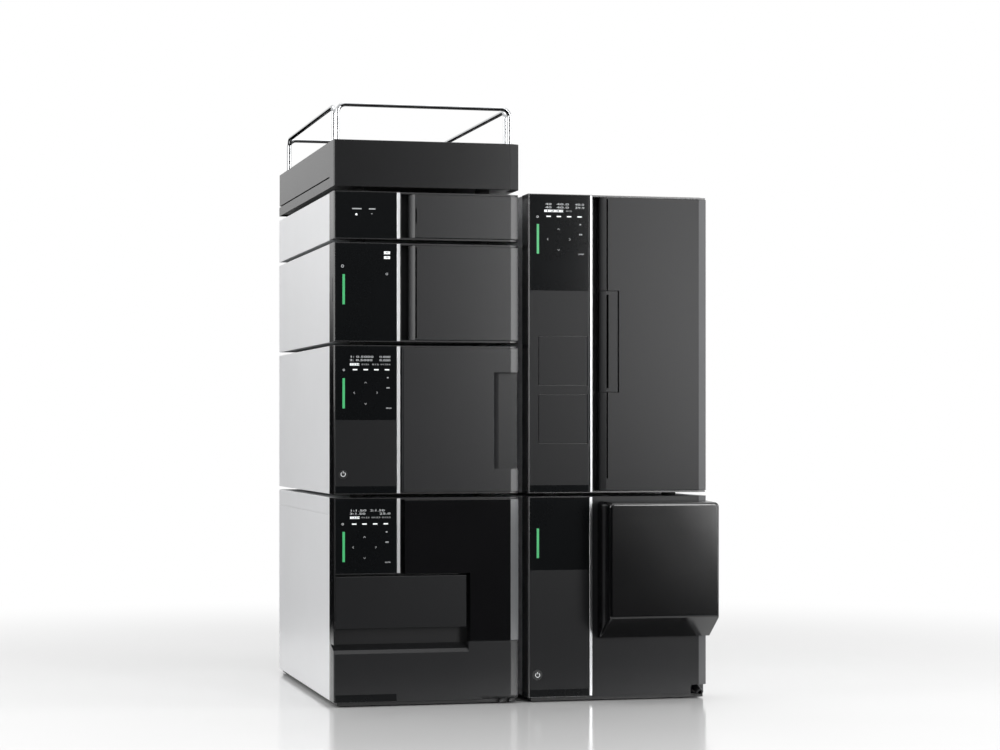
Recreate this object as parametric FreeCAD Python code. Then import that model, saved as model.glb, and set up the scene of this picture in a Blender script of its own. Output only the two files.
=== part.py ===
import FreeCAD, Part
import math
import os
from collections import namedtuple

# Liquid chromatograph mass spectrometer: two stacks of bench modules that stand side by side.
# Left stack from the floor up: autosampler, pump, detector, controller, bottle tray with rails.
# Right stack: mass spectrometer with its ion source cover, and the tall column oven.
# Sizes are millimetres. X runs to the right, Y to the back and Z up.
# A module is drawn in its own frame: x from its left side, y from the front face, z from its
# underside. It is then set in its stack, and the whole is centred on the floor.

V = FreeCAD.Vector
RIGHT = V(1, 0, 0)
BACK = V(0, 1, 0)
UP = V(0, 0, 1)
NEAR = 0.01            # how close an edge lies to the line that picks it
OVER = 1.0             # how far a cutting body runs past the face it opens
PIN_SIDES = 8          # hidden pins and their holes are eight-sided, so their mesh stays light
ROUND_SIDES = 12       # the same for feet, vials and bent tubes, which are many

# Footprint of every module and the heights of the modules
UNIT_W = 260.0
UNIT_D = 500.0
SAMPLER_H = 278.5
PUMP_H = 203.0
DETECTOR_H = 135.0
CONTROLLER_H = 65.0
TRAY_H = 63.5
SPECTROMETER_H = 278.5
OVEN_H = 415.0

# Gaps between the stacks, to the floor and between modules
STACK_GAP = 12.7
FLOOR_GAP = 6.5
UNIT_GAP = 5.0
TRAY_GAP = 6.5

# Painted covers, chassis and rubber feet
SHEET_T = 1.5
PLATE_T = 2.0
BULKHEAD_T = 4.0
DEEP_FLOOR = 40.0
PLINTH_IN = 5.0
PLINTH_LIFT = 1.5
FOOT_D = 20.0
FOOT_X_IN = 41.4
FOOT_Y_IN = 50.0
LID_SEAM_DOWN = 24.0
SEAM_W = 0.8
SEAM_DEPTH = 0.7

# Front bezel: hollow left column, ring behind the door, thin lips above and below the door
BEZEL_D = 35.0
RING_Y = 22.5
COLUMN_W = 92.0
WALL = 3.0
LIP_Y = 3.0
LIP_T = 2.5
FACE_RECESS = 2.5
EDGE_W = 2.0
CORNER_CUT = 1.5
INNER_CORNER_CUT = 0.4
GLASS_X1 = 87.0
STRIP_X0 = 87.5
STRIP_PROUD = 0.4
FACE_EDGE = 0.6
BAND_W = 12.2
BAND_D = 6.3

# Doors
DOOR_D = 20.0
DOOR_SKIN = 3.0
DOOR_WALL = 2.5
RIB_T = 2.0
RIB_PITCH = 75.0
HINGE_R = 8.0
PIN_R = 2.0
PIN_LONG = 2.2
PIN_FIT = 0.05
EDGE_GAP = 0.3
CHANNEL_X1 = 112.6
FLANK_RUN = 7.6
GROOVE_IN = 0.5
GROOVE_W = 2.2
GROOVE_D = 6.0
OVEN_GROOVE_Z0 = 20.0
NOTCH_H = 20.0

# Autosampler front: an L-shaped door whose leg runs down beside the drawer
SAMPLER_GLASS_H = 104.0
DOOR_LEG_W = 69.7
DOOR_LEG_GAP = 5.5
DRAWER_REVEAL = 3.0
DOOR_STEP_X = UNIT_W - DOOR_LEG_W
DOOR_STEP_Z = SAMPLER_H - SAMPLER_GLASS_H
DRAWER_X0 = 2.5
DRAWER_X1 = DOOR_STEP_X - DOOR_LEG_GAP
DRAWER_Z0 = 100.5
DRAWER_Z1 = DOOR_STEP_Z - DRAWER_REVEAL

# Windows of the front compartments (x0, x1, z0, z1) and how deep each compartment goes
WINDOW_X0 = 122.0
PUMP_WINDOW_X0 = 104.0
SOURCE_WINDOW_X0 = 112.0
SOURCE_WINDOW_Z0 = 92.0
UPPER_WINDOW_X0 = 108.0
VALVE_ROOM_W = 48.0
VALVE_ROOM_Z0 = 90.0
DRAWER_EDGE = 1.5
EDGE_SLIM = 8.0
EDGE_WIDE = 12.0
EDGE_TOP = 10.5
EDGE_RIGHT = 16.0
ROOM_X1 = UNIT_W - EDGE_RIGHT
CONTROLLER_WINDOW = (WINDOW_X0, ROOM_X1, EDGE_SLIM, CONTROLLER_H - EDGE_SLIM)
CONTROLLER_DEEP = 60.0
DETECTOR_WINDOW = (WINDOW_X0, ROOM_X1, EDGE_WIDE, DETECTOR_H - EDGE_WIDE)
DETECTOR_DEEP = 95.0
PUMP_WINDOW = (PUMP_WINDOW_X0, ROOM_X1, EDGE_WIDE, PUMP_H - EDGE_WIDE)
PUMP_DEEP = 125.0
OVEN_WINDOW = (WINDOW_X0, ROOM_X1, EDGE_WIDE, OVEN_H - EDGE_WIDE)
OVEN_DEEP = 155.0
SOURCE_WINDOW = (SOURCE_WINDOW_X0, ROOM_X1 - PLATE_T, SOURCE_WINDOW_Z0, SPECTROMETER_H - EDGE_TOP)
SOURCE_DEEP = 155.0
DRAWER_WINDOW = (EDGE_SLIM, DRAWER_X1 - SEAM_W, DRAWER_Z0 + DRAWER_EDGE, DRAWER_Z1 - DRAWER_EDGE)
SAMPLE_DEEP = 340.0
VALVE_WINDOW = (ROOM_X1 - VALVE_ROOM_W, ROOM_X1, VALVE_ROOM_Z0, SAMPLER_H - EDGE_TOP)
VALVE_DEEP = 110.0
UPPER_WINDOW = (UPPER_WINDOW_X0, ROOM_X1, DOOR_STEP_Z + EDGE_SLIM, SAMPLER_H - EDGE_TOP)

# Display glass, label strips and light bars
GLASS_H = 102.0
OVEN_GLASS_H = 134.0
TOP_EDGE = 1.0
LABEL_H = 10.0
LIGHT_X0 = 12.0
LIGHT_W = 3.3
LIGHT_H = 41.0
LIGHT_PROUD = 0.15
LIGHT_DOWN = 45.0
SAMPLER_LIGHT_DOWN = 46.0
OVEN_LIGHT_DOWN = 42.0
DETECTOR_LIGHT_DOWN = 43.5
SPECTROMETER_LIGHT_DOWN = 44.0

# Detector
SIDE_SLOTS = ((8.0, 10.4, 54.0, 87.0), (31.0, 33.0, 39.0, 55.0))
CELL_X0 = 150.0
CELL_W = 64.0
CELL_Z0 = 36.0
CELL_H = 56.0
CELL_LONG = 38.0
CELL_CORNER = 4.0
CELL_NUT_R = 6.0
CELL_NUT_LONG = 12.0
CELL_NUT_IN = 18.0

# Pump
PUMP_DOOR_X0 = 94.0
PUMP_HINGE_IN = 6.0
PUMP_HINGE_Y = 6.5
PUMP_EDGE_R = 3.0
GRIP_W = 36.5
GRIP_X0 = UNIT_W - GRIP_W
GRIP_SLOPE = 10.5
GRIP_DEEP = 14.0
GRIP_Z0 = 34.0
GRIP_H = 133.0
HEAD_R = 23.0
HEAD_LONG = 36.0
HEAD_Z = 88.0
HEAD_IN = 32.0
HEAD_X = (PUMP_WINDOW_X0 + HEAD_IN, ROOM_X1 - HEAD_IN)
HEAD_FACE_T = 12.0
HEAD_FACE_IN = 0.8
HEAD_FACE_CUT = 3.0
CHECK_R = 7.0
CHECK_LONG = 16.0
CHECK_SINK = 2.0
TUBE_R = 0.9
TUBE_BEND = 6.0
PURGE_X = (PUMP_WINDOW_X0 + ROOM_X1) / 2
PURGE_Z = 146.0
PURGE_BLOCK = 30.0
PURGE_LONG = HEAD_LONG + 6.0
KNOB_R = 11.0
KNOB_VALLEY_R = 9.2
KNOB_LONG = 14.0
KNOB_FLUTES = 10
STEM_R = 4.0
PUMP_BUTTON_Z = 27.0
PUMP_BUTTON_R = 6.0
BUTTON_X = 12.9

# Autosampler
SAMPLER_DOOR_X0 = 98.6
PANEL_TOP_Z = 80.0
PANEL_LOW_Z = 66.1
PANEL_LEDGE_Z = 71.0
PANEL_LEDGE_Y = 3.5
PANEL_BACK_Z = 77.5
PANEL_STEP_X = DOOR_STEP_X - EDGE_GAP - PLATE_T
DRAIN_CUT_W = 54.0
DRAIN_CUT_X = UNIT_W - DRAIN_CUT_W
DRAIN_CUT_Z = 4.0
DRAWER_FRONT_D = 18.0
DRAWER_BOX_H = 36.0
DRAWER_BOX_Y1 = SAMPLE_DEEP - EDGE_RIGHT
RACK_T = 4.0
VIAL_R = 6.0
VIAL_H = 32.0
VIAL_ROWS = 4
VIAL_COLS = 4
VIAL_PITCH = 26.0
RACK_Y = 183.0
RACK_SHARE = 0.6
RAIL_SECTION = 10.0
RAIL_DOWN = 42.5
RAIL_Z = SAMPLER_H - RAIL_DOWN
ARM_X = (DRAWER_WINDOW[0] + DRAWER_WINDOW[1]) / 2
ARM_W = 12.0
ARM_REACH = 130.0
SADDLE_T = 8.0
SADDLE_LAP = 6.0
SADDLE_RIM = 5.0
HEAD_BODY = 18.0
HEAD_FRONT = 14.0
HEAD_LAP = 4.0
GUIDE_T = 5.0
HEAD_LOW = RAIL_Z - SADDLE_T
HEAD_TALL = 30.0
NEEDLE_DROP = 40.0
NEEDLE_R = 0.9
NEEDLE_OUT = 44.0
HOLDER_R = 3.0
HOLDER_OUT = 12.0
VALVE_R = 18.0
VALVE_LONG = 40.0
VALVE_Z = 128.0
VALVE_NUT_R = 3.6
VALVE_NUT_LONG = 12.0
VALVE_NUTS = 6
VALVE_RING = 0.62
HOODS = ((63.5, 15.0, 22.0), (127.5, 46.0, 52.0), (181.5, 30.0, 52.0))
HOOD_X0 = 2.0
HOOD_PROUD = 16.0
NIPPLE_IN = 13.0
NIPPLE_PITCH = 13.7
NIPPLE_X = (UNIT_W - NIPPLE_IN - NIPPLE_PITCH, UNIT_W - NIPPLE_IN)

# Column oven
OVEN_STRIP_X0 = 89.0
HANDLE_X0 = 115.5
HANDLE_X1 = 129.6
HANDLE_SLOT_X1 = 130.7
HANDLE_Z0 = 140.0
HANDLE_H = 142.0
HANDLE_D = 10.0
HANDLE_SLOT_D = 17.0
HANDLE_GAP = 0.7
HANDLE_RIM = 5.0
HANDLE_PIN_X = 126.0
HANDLE_PIN_Y = 4.0
HANDLE_PIN_R = 1.5
HANDLE_EDGE_R = 2.0
OVEN_DOOR_X0 = 112.0
HATCH_X0 = 14.4
HATCH_SIDE = 71.0
HATCH_TALL = 68.5
HATCH_Z = (68.5, 149.5)
HATCH_GAP = 0.7
OVEN_COLUMN_R = 5.0
OVEN_COLUMN_LONG = 150.0
OVEN_COLUMN_IN = 38.0
OVEN_COLUMN_X = (WINDOW_X0 + OVEN_COLUMN_IN, ROOM_X1 - OVEN_COLUMN_IN)
OVEN_COLUMN_Z = 60.0
NUT_R = 8.0
NUT_LONG = 16.0
OVEN_COLUMN_OUT = 16.0
CLIP_H = 10.0
CLIP_HALF_W = 8.0
CLIP_WALL = 3.0
CLIP_MOUTH = 3.5
CLIP_SHARES = (0.25, 0.75)
OVEN_FAN_R = 46.0
OVEN_FAN_DOWN = 85.0
OVEN_FAN_Z = OVEN_H - OVEN_FAN_DOWN

# Mass spectrometer
COVER_X0 = 99.4
COVER_Z0 = 82.2
COVER_DOWN = 6.0
COVER_Z1 = SPECTROMETER_H - COVER_DOWN
COVER_REACH = 57.5
COVER_RIM = 10.0
COVER_FRONT_Z0 = 113.0
COVER_DRAW_L = 1.5
COVER_DRAW_R = 1.2
COVER_TOP_DROP = 1.6
COVER_GAP = 0.5
COVER_WALL = 3.0
COVER_EDGE_R = 4.0
COVER_CORNER_R = 6.5
KNUCKLE_H = 12.0
KNUCKLE_IN = 30.0
KNUCKLE_R = 7.0
NECK_OUT = 1.0
SOURCE_IN = 12.0
PROBE_ROOM = 62.0
SOURCE_BLOCK = (SOURCE_WINDOW_X0 + SOURCE_IN, ROOM_X1 - PLATE_T - SOURCE_IN,
                SOURCE_WINDOW_Z0 + SOURCE_IN, SPECTROMETER_H - EDGE_TOP - PROBE_ROOM)
SOURCE_BLOCK_Y = 66.0
SOURCE_CORNER = 10.0
SOURCE_RING_R = 34.0
SOURCE_RING_T = 8.0
SOURCE_EYE_R = 26.0
SOURCE_EYE_DEEP = 6.0
PROBE_R = 9.0
PROBE_LONG = 40.0
PROBE_NUT_R = 7.0
PROBE_NUT_LONG = 12.0
COLLAR_R = 14.4
COLLAR_UP = 10.0
COLLAR_LONG = 12.0
SPECTROMETER_BUTTON_Z = 31.5
SPECTROMETER_BUTTON_R = 7.0
SPOUT_R = 4.5
SPOUT_BORE_R = 2.7
SPOUT_BORE_DEEP = 8.0
SPOUT_LONG = 22.0
SPOUT_TIP = 14.0
SPOUT_IN = 12.5
SPOUT_X = UNIT_W - SPOUT_IN
SPOUT_Z = 7.6
NIPPLE_R = 2.4
CORNER_NOTCH_W = 24.0
CORNER_NOTCH_X = UNIT_W - CORNER_NOTCH_W
CORNER_NOTCH_Z = 12.5

# Rear of the modules
VENT_N = 6
VENT_W = 90.0
VENT_H = 3.0
VENT_PITCH = 7.0
VENT_X = 60.0
SAMPLER_VENT_X = 100.0
SPECTROMETER_VENT_X = 150.0
INLET_W = 27.0
INLET_H = 20.0
INLET_IN = 48.0
INLET_X = UNIT_W - INLET_IN
INLET_UP = 14.0
INLET_FLANGE = 5.0
INLET_PROUD = 3.0
INLET_DEEP = 18.0
INLET_BLADES = ((-7.0, -2.0), (0.0, 2.0), (7.0, -2.0))
INLET_BLADE_T = 2.0
INLET_BLADE_H = 4.0
FAN_R = 50.0
FAN_X = 80.0
FAN_Z = 150.0
FAN_DEEP = 18.0
FAN_BACK = 6.0
FAN_BLADES = 7
FAN_BLADE_T = 1.6
FAN_BLADE_TURN = 35.0
FAN_TIP_GAP = 4.0
HUB_SHARE = 0.36
GRILLE_ROWS = 3
GRILLE_PITCH = 12.0
GRILLE_SLOT = 7.0
GRILLE_PAD = 12.0
SPINDLE_R = 3.0

# Bottle tray and its rails
TRAY_BASE_H = 13.5
TRAY_SLIT_H = 2.0
TRAY_WALL = 3.0
TRAY_RIM = 16.0
SLIT_IN = 23.0
SLIT_LONG = 63.0
SLIT_Y1 = UNIT_D - SLIT_IN
SLIT_Y0 = SLIT_Y1 - SLIT_LONG
RAIL_R = 3.0
RAIL_BEND = 11.0
RAIL_RISE = 50.0
RAIL_IN_LEFT = 7.0
RAIL_IN_RIGHT = 10.0
END_RAIL_IN = (17.0, 45.0)
SIDE_RAIL_IN = (42.0, 58.0)
END_RAIL_X = (RAIL_IN_LEFT + 1.0, UNIT_W - RAIL_IN_RIGHT)
END_RAIL_Y = (END_RAIL_IN[0], UNIT_D - END_RAIL_IN[1])
SIDE_RAIL_X = (RAIL_IN_LEFT, UNIT_W - RAIL_IN_RIGHT)
SIDE_RAIL_Y = (SIDE_RAIL_IN[0], UNIT_D - SIDE_RAIL_IN[1])

Unit = namedtuple("Unit", "left base height")
RIGHT_X0 = UNIT_W + STACK_GAP
PUMP_BASE = FLOOR_GAP + SAMPLER_H + UNIT_GAP
DETECTOR_BASE = PUMP_BASE + PUMP_H + UNIT_GAP
CONTROLLER_BASE = DETECTOR_BASE + DETECTOR_H + UNIT_GAP
TRAY_BASE = CONTROLLER_BASE + CONTROLLER_H + TRAY_GAP
OVEN_BASE = FLOOR_GAP + SPECTROMETER_H + UNIT_GAP
SAMPLER = Unit(0.0, FLOOR_GAP, SAMPLER_H)
PUMP = Unit(0.0, PUMP_BASE, PUMP_H)
DETECTOR = Unit(0.0, DETECTOR_BASE, DETECTOR_H)
CONTROLLER = Unit(0.0, CONTROLLER_BASE, CONTROLLER_H)
TRAY = Unit(0.0, TRAY_BASE, TRAY_H)
SPECTROMETER = Unit(RIGHT_X0, FLOOR_GAP, SPECTROMETER_H)
OVEN = Unit(RIGHT_X0, OVEN_BASE, OVEN_H)

# The origin is on the floor, at the middle of the whole in X and Y
CENTRE_X = (RIGHT_X0 + UNIT_W) / 2
CENTRE_Y = (UNIT_D + HOOD_PROUD - COVER_REACH) / 2

NODES = {}


def add(name, unit, *solids):
    """Put solids drawn in a module's frame into a node, at their place on the floor."""
    shift = V(unit.left - CENTRE_X, -CENTRE_Y, unit.base)
    for solid in solids:
        moved = solid.copy()
        moved.translate(shift)
        NODES.setdefault(name, []).append(moved)


def block(x0, x1, y0, y1, z0, z1):
    return Part.makeBox(x1 - x0, y1 - y0, z1 - z0, V(x0, y0, z0))


def prism_up(points, z0, z1):
    """An outline of (x, y) points carried from z0 up to z1."""
    loop = Part.makePolygon([V(x, y, z0) for x, y in points + points[:1]])
    return Part.Face(loop).extrude(V(0, 0, z1 - z0))


def prism_across(points, x0, x1):
    """An outline of (y, z) points carried from x0 to x1."""
    loop = Part.makePolygon([V(x0, y, z) for y, z in points + points[:1]])
    return Part.Face(loop).extrude(V(x1 - x0, 0, 0))


def rod(x, y, z, radius, length, way):
    return Part.makeCylinder(radius, length, V(x, y, z), way)


def regular(centre, radius, way, sides):
    """Flat regular outline across a direction, radius over its corners."""
    turn = FreeCAD.Rotation(UP, way)
    angles = [2 * math.pi * k / sides for k in range(sides + 1)]
    ring = [turn.multVec(V(radius * math.cos(a), radius * math.sin(a), 0)) for a in angles]
    return Part.makePolygon([centre + p for p in ring])


def polygon(x, y, z, radius, length, way, sides):
    """A straight prism on a regular outline."""
    return Part.Face(regular(V(x, y, z), radius, way, sides)).extrude(way * length)


def hexagon(x, y, z, radius, length, way):
    """A hexagonal nut or valve body, radius over its corners."""
    return polygon(x, y, z, radius, length, way, 6)


def pin(x, y, z, radius, length, way=UP):
    return polygon(x, y, z, radius, length, way, PIN_SIDES)


def pin_bore(x, y, z, radius, length, way=UP):
    """Hole in which a pin of this radius turns freely."""
    corner = (radius + PIN_FIT) / math.cos(math.pi / PIN_SIDES)
    return polygon(x, y, z, corner, length, way, PIN_SIDES)


def join(first, *others):
    return first.multiFuse(list(others)).removeSplitter()


def line_edges(shape, x=None, y=None, z=None):
    """Straight edges that lie on the given coordinates."""
    chosen = []
    for edge in shape.Edges:
        box = edge.BoundBox
        spans = ((x, box.XMin, box.XMax), (y, box.YMin, box.YMax), (z, box.ZMin, box.ZMax))
        if all(want is None or (abs(low - want) < NEAR and abs(high - want) < NEAR)
               for want, low, high in spans):
            chosen.append(edge)
    return chosen


def tube(points, radius, bend):
    """A tube through the points, each corner an arc of the same bend radius."""
    edges = []
    start = points[0]
    for before, corner, after in zip(points, points[1:], points[2:]):
        into = (before - corner).normalize()
        out = (after - corner).normalize()
        half = into.getAngle(out) / 2
        first = corner + into * (bend / math.tan(half))
        last = corner + out * (bend / math.tan(half))
        middle = corner + (into + out).normalize() * (bend / math.sin(half) - bend)
        edges.append(Part.LineSegment(start, first).toShape())
        edges.append(Part.Arc(first, middle, last).toShape())
        start = last
    edges.append(Part.LineSegment(start, points[-1]).toShape())
    path = Part.Wire(edges)
    ring = regular(points[0], radius, (points[1] - points[0]).normalize(), ROUND_SIDES)
    return path.makePipeShell([ring], True, False, 2)


def band_outline(left_front, left_back, front, back):
    """Plan of a front piece whose right edge is cut back by the slanted band."""
    return [(left_front, front), (UNIT_W - BAND_W, front), (UNIT_W, front + BAND_D),
            (UNIT_W, back), (left_back, back)]


# Shared pieces of every module


def module_cover(unit, seamed=False):
    """Painted sheet folded over the top and both sides."""
    h = unit.height
    outside = block(0, UNIT_W, BEZEL_D, UNIT_D, 0, h)
    inside = block(SHEET_T, UNIT_W - SHEET_T, BEZEL_D - OVER, UNIT_D + OVER, -OVER, h - SHEET_T)
    sheet = outside.cut(inside)
    outer = line_edges(sheet, x=0, z=h) + line_edges(sheet, x=UNIT_W, z=h)
    sheet = sheet.makeFillet(SHEET_T * 0.9, outer)
    if seamed:
        z = h - LID_SEAM_DOWN
        for x in (0, UNIT_W):
            sheet = sheet.cut(block(x - SEAM_DEPTH, x + SEAM_DEPTH, BEZEL_D, UNIT_D, z, z + SEAM_W))
    return sheet


def pocket(window, deep):
    x0, x1, z0, z1 = window
    return block(x0, x1, BEZEL_D - OVER, deep, z0, z1)


def module_chassis(unit, pockets, vent_x, plinth=False):
    """Floor plate, front bulkhead with its compartment, and a vented rear wall."""
    h = unit.height
    inner = UNIT_W - SHEET_T
    body = block(SHEET_T, inner, BEZEL_D, UNIT_D, 0, h - SHEET_T)
    deepest = max(deep for window, deep in pockets)
    hollow = block(SHEET_T - OVER, inner + OVER, deepest + BULKHEAD_T, UNIT_D - PLATE_T, PLATE_T, h)
    body = body.cut(hollow)
    room_floor = min(window[2] for window, deep in pockets) - BULKHEAD_T
    if room_floor > DEEP_FLOOR:
        body = body.cut(block(SHEET_T - OVER, inner + OVER, BEZEL_D + BULKHEAD_T, deepest,
                              PLATE_T, room_floor))
    for window, deep in pockets:
        body = body.cut(pocket(window, deep))
    slots = min(VENT_N, int((h - 2 * VENT_PITCH) / VENT_PITCH))
    lowest = h / 2 - (slots - 1) * VENT_PITCH / 2
    for k in range(slots):
        z = lowest + k * VENT_PITCH
        body = body.cut(block(vent_x, vent_x + VENT_W, UNIT_D - BEZEL_D, UNIT_D + OVER, z, z + VENT_H))
    x0, x1 = INLET_X, INLET_X + INLET_W
    body = body.cut(block(x0, x1, UNIT_D - PLATE_T - OVER, UNIT_D + OVER, INLET_UP, INLET_UP + INLET_H))
    if plinth:
        base = block(PLINTH_IN, UNIT_W - PLINTH_IN, PLINTH_IN, UNIT_D - PLINTH_IN, PLINTH_LIFT - FLOOR_GAP, 0)
        for x, y in foot_places():
            base = base.cut(polygon(x, y, -FLOOR_GAP, FOOT_D / 2 + EDGE_GAP, FLOOR_GAP, UP, ROUND_SIDES))
        body = join(body, base)
    return body


def foot_places():
    return [(x, y) for x in (FOOT_X_IN, UNIT_W - FOOT_X_IN) for y in (FOOT_Y_IN, UNIT_D - FOOT_Y_IN)]


def add_feet(unit, gap):
    for x, y in foot_places():
        add("rubber_feet", unit, polygon(x, y, -gap, FOOT_D / 2, gap, UP, ROUND_SIDES))


def add_inlet(unit):
    """Mains inlet: a flanged socket through the rear wall, with its three blades."""
    x0, x1 = INLET_X, INLET_X + INLET_W
    z0, z1 = INLET_UP, INLET_UP + INLET_H
    back = UNIT_D + INLET_PROUD
    flange = block(x0 - INLET_FLANGE, x1 + INLET_FLANGE, UNIT_D, back, z0 - WALL, z1 + WALL)
    flange = flange.makeChamfer(WALL, [e for e in flange.Edges if e.BoundBox.YLength > WALL - NEAR])
    body = block(x0, x1, UNIT_D - INLET_DEEP, UNIT_D, z0, z1)
    mouth = block(x0 + PLATE_T, x1 - PLATE_T, UNIT_D - INLET_DEEP + PLATE_T, back + OVER,
                  z0 + PLATE_T, z1 - PLATE_T)
    socket = join(flange, body).cut(mouth)
    middle_x = (x0 + x1) / 2
    middle_z = (z0 + z1) / 2
    for across, rise in INLET_BLADES:
        x = middle_x + across - INLET_BLADE_T / 2
        z = middle_z + rise - INLET_BLADE_H / 2
        blade = block(x, x + INLET_BLADE_T, UNIT_D - INLET_DEEP + OVER, UNIT_D - WALL,
                      z, z + INLET_BLADE_H)
        socket = join(socket, blade)
    add("power_inlets", unit, socket)


def lip(left, z0, z1):
    """Thin plate over or under a door, set back from its face."""
    return prism_up(band_outline(left, left, LIP_Y, RING_Y), z0, z1)


def column_shell(h, bottom, corner=CORNER_CUT):
    """Hollow left column with the shallow recess that takes the glass and the strip."""
    shell = block(0, COLUMN_W, 0, BEZEL_D, bottom, h)
    shell = shell.makeChamfer(corner, line_edges(shell, x=0, y=0))
    shell = shell.cut(block(EDGE_W, COLUMN_W + OVER, -OVER, FACE_RECESS, bottom + TOP_EDGE, h - TOP_EDGE))
    return shell.cut(block(WALL, COLUMN_W - WALL, FACE_RECESS + WALL, BEZEL_D + OVER,
                           bottom + WALL, h - WALL))


def window_cut(window):
    x0, x1, z0, z1 = window
    return block(x0, x1, RING_Y - OVER, BEZEL_D + OVER, z0, z1)


def pin_hole(x, y, z0, z1):
    return pin_bore(x, y, z0 - OVER, PIN_R, z1 - z0 + 2 * OVER)


def module_bezel(unit, windows, hinge, corner=CORNER_CUT):
    """Column, ring and both lips in one moulding, with the two pin holes of the door."""
    h = unit.height
    column = column_shell(h, 0, corner)
    ring = block(COLUMN_W - WALL, UNIT_W, RING_Y, BEZEL_D, 0, h)
    for window in windows:
        ring = ring.cut(window_cut(window))
    shell = join(column, ring, lip(COLUMN_W - WALL, 0, LIP_T), lip(COLUMN_W - WALL, h - LIP_T, h))
    x, y = hinge
    return shell.cut(pin_hole(x, y, 0, LIP_T)).cut(pin_hole(x, y, h - LIP_T, h))


def soften_face(panel, z0, z1):
    """Small flat along the top and bottom front edges of a door or panel."""
    chosen = []
    for z in (z0, z1):
        chosen += [e for e in line_edges(panel, z=z) if e.BoundBox.YMax < BAND_D + NEAR]
    return panel.makeChamfer(FACE_EDGE, chosen)


def hollow_back(door, x0, x1, z0, z1):
    """Open the back of a door into bays with ribs between them."""
    bays = max(1, round((z1 - z0) / RIB_PITCH))
    pitch = (z1 - z0 - DOOR_WALL * 2 + RIB_T) / bays
    for k in range(bays):
        low = z0 + DOOR_WALL + k * pitch
        door = door.cut(block(x0, x1, DOOR_SKIN, DOOR_D + OVER, low, low + pitch - RIB_T))
    return door


def hinge_pins(door, x, y, z0, z1):
    low = pin(x, y, z0 - PIN_LONG, PIN_R, PIN_LONG + OVER)
    high = pin(x, y, z1 - OVER, PIN_R, PIN_LONG + OVER)
    return join(door, low, high)


RIGHT_HINGE = (UNIT_W - HINGE_R, DOOR_D - HINGE_R)
DOOR_INSIDE_X1 = UNIT_W - 2 * HINGE_R - OVER
DOOR_Z0 = LIP_T + EDGE_GAP


def right_door(unit, left):
    """Door hung on its right edge, whose back corner is round about the hinge axis.

    Its left edge slants back, so that fingers find it from the channel.
    """
    z0 = DOOR_Z0
    z1 = unit.height - DOOR_Z0
    outline = band_outline(left, left - FLANK_RUN, 0, DOOR_D) + [(left - FLANK_RUN, FLANK_RUN)]
    door = prism_up(outline, z0, z1)
    door = door.makeFillet(HINGE_R * 0.999, line_edges(door, x=UNIT_W, y=DOOR_D))
    door = soften_face(door, z0, z1)
    inside_x0 = left + GROOVE_IN + GROOVE_W + DOOR_WALL
    door = hollow_back(door, inside_x0, DOOR_INSIDE_X1, z0, z1)
    return hinge_pins(door, *RIGHT_HINGE, z0, z1)


def groove(door, left, z0, z1):
    """Narrow shadow groove in a door's face, beside its left edge."""
    x = left + GROOVE_IN
    return door.cut(block(x, x + GROOVE_W, -OVER, GROOVE_D, z0, z1))


def add_light(unit, glass, down):
    """Light bar in a slot of the display glass."""
    z1 = unit.height - down
    bar = block(LIGHT_X0, LIGHT_X0 + LIGHT_W, -LIGHT_PROUD, FACE_RECESS, z1 - LIGHT_H, z1)
    add("status_lights", unit, bar)
    return glass.cut(bar)


def add_face(unit, glass_h, light_down=None, bottom=0.0, strip_x0=STRIP_X0, labelled=False):
    """Display glass, bright strip and label strip in the recess of the column."""
    top = unit.height - TOP_EDGE
    floor = bottom + TOP_EDGE
    low = max(unit.height - glass_h, floor)
    glass = block(EDGE_W, GLASS_X1, 0, FACE_RECESS, low, top)
    if light_down is not None:
        glass = add_light(unit, glass, light_down)
    add("display_glass", unit, glass)
    strip = block(strip_x0, COLUMN_W, -STRIP_PROUD, FACE_RECESS, floor, top)
    strip = strip.makeChamfer(STRIP_PROUD, line_edges(strip, y=-STRIP_PROUD))
    add("trim_strips", unit, strip)
    if labelled:
        add("display_glass", unit, block(EDGE_W, GLASS_X1, 0, FACE_RECESS, floor, floor + LABEL_H))


def lower_panel(unit, glass_h):
    """Satin panel between the label strip and the glass."""
    return block(EDGE_W, GLASS_X1, 0, FACE_RECESS, TOP_EDGE + LABEL_H, unit.height - glass_h)


def push_button(x, z, radius):
    """Round button with a stop flange behind the wall it passes through."""
    face = rod(x, 0, z, radius, FACE_RECESS + WALL + EDGE_GAP + OVER, BACK)
    flange = polygon(x, FACE_RECESS + WALL + EDGE_GAP, z, radius + PIN_R, PIN_R, BACK, ROUND_SIDES)
    return join(face, flange)


def button_hole(x, z, radius):
    return rod(x, -OVER, z, radius + EDGE_GAP / 2, FACE_RECESS + WALL + 2 * OVER, BACK)


def fan_rotor(x, y, z, radius):
    """Axial fan rotor about a line that runs front to back."""
    hub_r = radius * HUB_SHARE
    rotor = rod(x, y, z, hub_r, FAN_DEEP, BACK)
    for k in range(FAN_BLADES):
        blade = block(hub_r - OVER, radius, -FAN_DEEP, FAN_DEEP, -FAN_BLADE_T / 2, FAN_BLADE_T / 2)
        blade.rotate(V(0, 0, 0), RIGHT, FAN_BLADE_TURN)
        blade.rotate(V(0, 0, 0), BACK, k * 360 / FAN_BLADES)
        blade.translate(V(x, y + FAN_DEEP / 2, z))
        rotor = rotor.fuse(blade)
    far = radius + OVER
    ends = block(x - far, x + far, y, y + FAN_DEEP, z - far, z + far)
    rotor = rotor.common(ends).removeSplitter()
    return rotor.cut(pin_bore(x, y - OVER, z, SPINDLE_R, FAN_DEEP + 2 * OVER, BACK))


# Controller and detector


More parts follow.
